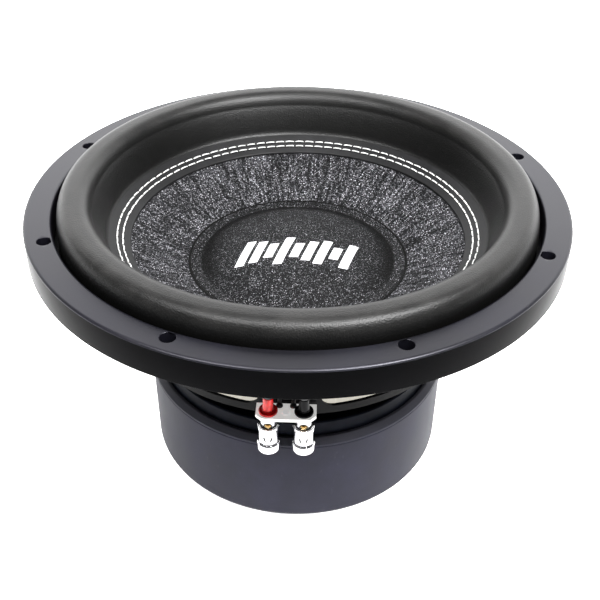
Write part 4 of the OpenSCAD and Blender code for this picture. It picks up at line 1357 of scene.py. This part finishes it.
def lead_mesh(points):
    """A braided lead: a tube whose skin rises and falls where two sets of strands cross."""
    path = curve_through(points, 26)
    sides = 36
    run = np.concatenate([[0], np.cumsum(np.linalg.norm(np.diff(path, axis=0), axis=1))])[:, None]
    a = (np.arange(sides) / sides)[None]
    one = np.sin(TAU * (a * 6 + run * 0.9))
    two = np.sin(TAU * (a * 6 - run * 0.9))
    radius = 1.08 + 0.1 * np.maximum(one, two)
    return tube(path, radius, sides)


# ---------------------------------------------------------------- operators

LEAD_ROUTE = np.array([
    [3.8, -108.7, 108], [4.1, -106.8, 110.2], [4.9, -103.6, 111.4], [5.8, -99.8, 111.7],
    [6.6, -95, 111.0], [7.2, -89, 109.6], [7.6, -83, 108.4], [7.9, -77, 107.8],
    [8, -71, 108.2], [8, -65, 109.8], [8, -59.5, 112.2], [8, -54.6, 115.2], [8, -51.9, 117.0],
])


def paint(node, material):
    """Gives a CAD node its finish."""
    mesh = NODES[node].data
    mesh.materials.clear()
    mesh.materials.append(material)


def stands_for(obj, slot, *nodes):
    """A piece hides the CAD nodes that it stands for."""
    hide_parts(*nodes)
    return obj


class Maker:
    """What every operator shares: it makes its pieces and reports that it is done."""

    def execute(self, context):
        self.make(context)
        return {"FINISHED"}


class DRIVER_OT_trim_ring(Maker, bpy.types.Operator):
    """Rubber trim ring with its eight screw holes"""
    bl_idname = "driver.trim_ring"
    bl_label = "Trim ring"

    def make(self, context):
        co, faces = ring_mesh()
        obj = make_object("trim_ring_rubber", co, faces, material=ring_rubber())
        bm = bmesh.new()
        bm.from_mesh(obj.data)
        bmesh.ops.remove_doubles(bm, verts=bm.verts, dist=2e-6)
        for face in bm.faces:
            c = face.calc_center_median()
            # faces on the outer wall take the darker painted-shade finish
            if math.hypot(c.x, c.y) > (RING_OUT - 0.3) * MM and c.z < (RING_TOP - 1.1) * MM:
                face.material_index = 1
            face.smooth = True
        bm.to_mesh(obj.data)
        bm.free()
        obj.data.materials.append(ring_wall_painted_shade())
        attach(obj, "frame")
        stands_for(obj, "ring_rubber", "trim_ring")


class DRIVER_OT_surround(Maker, bpy.types.Operator):
    """Rubber roll between the ring and the cone"""
    bl_idname = "driver.surround"
    bl_label = "Surround"

    def make(self, context):
        co, faces = turned(roll_profile(), 360)
        obj = make_object("surround_roll", co, faces, material=surround_rubber())
        r = np.hypot(co[:, 0], co[:, 1])
        out_r = reach("surround", RING_LOW + 6.01)[1]
        weights = 1 - eased(r, TOE_R + 2, out_r - 2)
        stretch(obj, (0, out_r * MM, 0.16), (0, TOE_R * MM, 0.16))
        stands_for(obj, "surround_rubber", "surround")


class DRIVER_OT_stitched_lip(Maker, bpy.types.Operator):
    """Lip of the surround with its two rows of stitches"""
    bl_idname = "driver.stitched_lip"
    bl_label = "Stitched lip"

    def make(self, context):
        rows = {}
        for node in ("stitch_row_outer", "stitch_row_inner"):
            low, high = reach(node)[:2]
            rows[node] = (low + high) / 2
        co, faces = lip_mesh(rows.values())
        lip = make_object("lip_band", co, faces, "cone_unit", lip_rubber())
        stands_for(lip, "lip_rubber", "surround_lip")
        for node, radius in rows.items():
            co, faces, uv = stitch_row(radius)
            obj = make_object(node.replace("row", "thread"), co, faces, "cone_unit", thread(), uv)
            stands_for(obj, "thread", node)


class DRIVER_OT_cone(Maker, bpy.types.Operator):
    """Pulp cone, dust cap and the bead of glue between them"""
    bl_idname = "driver.cone"
    bl_label = "Cone and cap"

    def make(self, context):
        co, faces = cone_mesh()
        obj = make_object("cone_shell", co, faces, "cone_unit", cone_pulp())
        stands_for(obj, "cone_pulp", "cone")
        co, faces = cap_mesh()
        obj = make_object("dust_cap_shell", co, faces, "cone_unit", cap_pulp())
        stands_for(obj, "cap_pulp", "dust_cap")
        paint("cap_glue_bead", glue())
        paint("coil_former", former_film())
        paint("coil_winding", copper_wire())
        paint("lead_eyelets", contact_brass())


class DRIVER_OT_spider(Maker, bpy.types.Operator):
    """Corrugated cloth between the basket and the cone's neck"""
    bl_idname = "driver.spider"
    bl_label = "Spider"

    def make(self, context):
        (co, faces), flat_in, flat_out = spider_mesh()
        obj = make_object("spider_cloth_disc", co, faces, material=spider_cloth())
        r = np.hypot(co[:, 0], co[:, 1])
        weights = 1 - eased(r, flat_in, flat_out)
        stretch(obj, (0, flat_out * MM, 0.1), (0, flat_in * MM, 0.1))
        stands_for(obj, "spider_cloth", "spider")


class DRIVER_OT_leads(Maker, bpy.types.Operator):
    """Two braided leads from the terminals to the cone"""
    bl_idname = "driver.leads"
    bl_label = "Leads"

    def make(self, context):
        for side, node in ((-1, "lead_red"), (1, "lead_black")):
            points = LEAD_ROUTE * [side, 1, 1] + [TERMINAL_X, 0, 0]
            co, faces, uv = lead_mesh(points)
            obj = make_object(node.replace("lead", "braided_lead"), co, faces, material=lead_braid(), uv=uv)
            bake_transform(obj)
            stands_for(obj, "lead_braid", node)


class DRIVER_OT_motor(Maker, bpy.types.Operator):
    """Rubber boot, top plate, magnets, pole and vent screen"""
    bl_idname = "driver.motor"
    bl_label = "Motor"

    def make(self, context):
        co, faces = boot_mesh()
        obj = make_object("boot_shell", co, faces, "frame", boot_rubber())
        stands_for(obj, "boot_rubber", "magnet_boot")
        paint("top_plate", plate_black())
        for node in ("back_plate", "pole_piece"):
            paint(node, motor_steel())
        for node in ("magnet_upper", "magnet_lower"):
            paint(node, ferrite())
        paint("vent_screen", screen_wire())
        paint("basket_screws", screw_steel())


class DRIVER_OT_basket(Maker, bpy.types.Operator):
    """Pressed steel basket"""
    bl_idname = "driver.basket"
    bl_label = "Basket"

    def make(self, context):
        paint("basket", basket_paint())


class DRIVER_OT_terminals(Maker, bpy.types.Operator):
    """Terminal board with its bushings, posts, springs, sleeves and grips"""
    bl_idname = "driver.terminals"
    bl_label = "Terminals"

    def make(self, context):
        paint("terminal_board", board_fibre())
        paint("board_rivets", rivet_metal())
        paint("terminal_posts", post_plating())
        paint("solder_joints", solder_sleeve())
        liners = []
        for side, at, finish in (("red", RED_AT, bushing_red()), ("black", BLACK_AT, bushing_black())):
            centre = (at.x, at.y)
            self.bushing(side, centre, finish)
            self.sleeve(side, centre)
            paint("spring_" + side, spring_steel())
            liners.append(hole_liner(at, POST_R, 2.62, 1.75))
        co, faces = joined(liners)
        obj = make_object("hole_liners", co, faces, "frame", liner_brass())

    def bushing(self, side, centre, finish):
        """The flange and boss on the board, and the washer under it."""
        node = "bushing_" + side
        co = vertices(node)
        r = np.hypot(co[:, 0] - centre[0], co[:, 1] - centre[1])
        bore, top = r.min(), co[:, 2].max()
        flange_r = r[co[:, 2] > BOARD_LOW + 0.1].max()
        boss_r = r[co[:, 2] > top - 0.1].max()
        upper = turned(bushing_profile(BOARD_TOP, flange_r, 1.5, boss_r, top, bore), 64, centre)
        low = co[:, 2].min()
        washer_r = r[co[:, 2] < BOARD_LOW - 0.1].max()
        washer = filleted([[bore, low], [washer_r, low], [washer_r, BOARD_LOW], [bore, BOARD_LOW]], 0.2, 3)
        co, faces = joined([upper, turned(washer, 64, centre)])
        obj = make_object(node + "_moulding", co, faces, "frame", finish)
        stands_for(obj, node, node)

    def sleeve(self, side, centre):
        """The plated sleeve and its grip, which slide down together."""
        body = side + "_sleeve_unit"
        for node, profile in (("sleeve_" + side, sleeve_profile), ("grip_" + side, grip_profile)):
            co = vertices(node)
            r = np.hypot(co[:, 0] - centre[0], co[:, 1] - centre[1])
            low, top = co[:, 2].min(), co[:, 2].max()
            is_sleeve = profile is sleeve_profile
            outline = profile(low, top, r.max() + 0.2 * is_sleeve, r[co[:, 2] > top - 0.1].min())
            co, faces = turned(outline, 72, centre, closed=is_sleeve)
            obj = make_object(node + "_plated", co, faces, body, sleeve_plating())
            stands_for(obj, "terminal_chrome", node)


class DRIVER_OT_stage(Maker, bpy.types.Operator):
    """Pale floor, soft studio light and the camera"""
    bl_idname = "driver.stage"
    bl_label = "Stage"

    def make(self, context):
        s = context.scene.driver_stage
        scene = context.scene
        world = bpy.data.worlds.new("studio")
        world.use_nodes = True
        world.node_tree.nodes["Background"].inputs["Color"].default_value = (1, 1, 1, 1)
        world.node_tree.nodes["Background"].inputs["Strength"].default_value = s.sky
        scene.world = world
        scene.view_settings.view_transform = "Standard"
        self.floor()
        self.light("back_panel", (0.0, 1.6, 0.78), (0, 0, 0.2), (5.2, 1.55), 76)
        self.light("overhead", (0.0, 0.1, 1.6), (0, 0, 0.15), (0.9, 0.7), 7)
        self.light("front_right", (0.5, -0.6, 1.15), (0, 0, 0.17), (0.55, 0.3), 35)
        self.light("front_left", (-0.45, -0.6, 1.15), (0, 0, 0.17), (0.7, 0.3), 13)
        self.camera(s)

    def floor(self):
        """A round floor, in rings of points that grow outwards."""
        r = np.array([0.0, 0.5, 1, 2, 4, 8, 14]) * 1000
        steps = 96
        t = np.arange(steps) * TAU / steps
        flat = np.zeros((len(r) - 1, steps))
        co = np.stack([r[1:, None] * np.cos(t), r[1:, None] * np.sin(t), flat], -1).reshape(-1, 3)
        faces = grid_faces(len(r) - 1, steps, wrap_cols=True)[:, ::-1].tolist()
        faces.append(list(range(steps)))
        obj = make_object("floor", co, faces, material=pale_floor())

    def light(self, name, at, target, size, power):
        """A soft rectangular lamp aimed at a point."""
        lamp = bpy.data.lights.new(name, "AREA")
        lamp.shape = "RECTANGLE"
        lamp.size, lamp.size_y = size
        lamp.energy = power
        obj = bpy.data.objects.new(name, lamp)
        obj.location = at
        obj.rotation_euler = (Vector(target) - Vector(at)).to_track_quat("-Z", "Y").to_euler()
        bpy.context.scene.collection.objects.link(obj)

    def camera(self, s):
        """The camera looks at a point on the axis under the ring and is turned a little on its line."""
        top = Vector((0, 0, RING_TOP * MM))
        e, a = s.camera_elevation, s.camera_azimuth
        way = Vector((math.sin(a) * math.cos(e), -math.cos(a) * math.cos(e), math.sin(e)))
        aim = top + Vector((0.0016, 0, -s.aim_drop))
        data = bpy.data.cameras.new("camera")
        data.lens = s.lens
        data.sensor_width = 36
        obj = bpy.data.objects.new("camera", data)
        obj.location = top + way * s.camera_distance
        look = (aim - obj.location).normalized()
        turn = Matrix.Rotation(s.camera_roll, 4, look) @ look.to_track_quat("-Z", "Y").to_matrix().to_4x4()
        obj.rotation_euler = turn.to_euler()
        bpy.context.scene.collection.objects.link(obj)
        bpy.context.scene.camera = obj


OPERATORS = (
    DRIVER_OT_stage,
    DRIVER_OT_motor,
    DRIVER_OT_basket,
    DRIVER_OT_terminals,
    DRIVER_OT_trim_ring,
    DRIVER_OT_surround,
    DRIVER_OT_stitched_lip,
    DRIVER_OT_cone,
    DRIVER_OT_spider,
    DRIVER_OT_leads,
)


class DRIVER_PT_panel(bpy.types.Panel):
    """Lists the driver's pieces and their settings"""
    bl_idname = "DRIVER_PT_panel"
    bl_label = "Subwoofer driver"
    bl_space_type = "VIEW_3D"
    bl_region_type = "UI"
    bl_category = "Driver"

    def draw(self, context):
        for group in GROUPS:
            box = self.layout.box()
            settings = getattr(context.scene, group)
            for name in settings.__annotations__:
                box.prop(settings, name)
        for operator in OPERATORS:
            self.layout.operator(operator.bl_idname)


def register():
    """Registers the settings, the operators and the panel."""
    for name, group in GROUPS.items():
        bpy.utils.register_class(group)
        setattr(bpy.types.Scene, name, bpy.props.PointerProperty(type=group))
    for operator in OPERATORS:
        bpy.utils.register_class(operator)
    bpy.utils.register_class(DRIVER_PT_panel)


def unregister():
    """Removes what register added."""
    bpy.utils.unregister_class(DRIVER_PT_panel)
    for operator in reversed(OPERATORS):
        bpy.utils.unregister_class(operator)
    for name, group in GROUPS.items():
        delattr(bpy.types.Scene, name)
        bpy.utils.unregister_class(group)


def main():
    """Registers the settings, operators and panel, then builds every piece."""
    register()
    for operator in OPERATORS:
        group, name = operator.bl_idname.split(".")
        getattr(getattr(bpy.ops, group), name)()


if __name__ == "__main__":
    main()
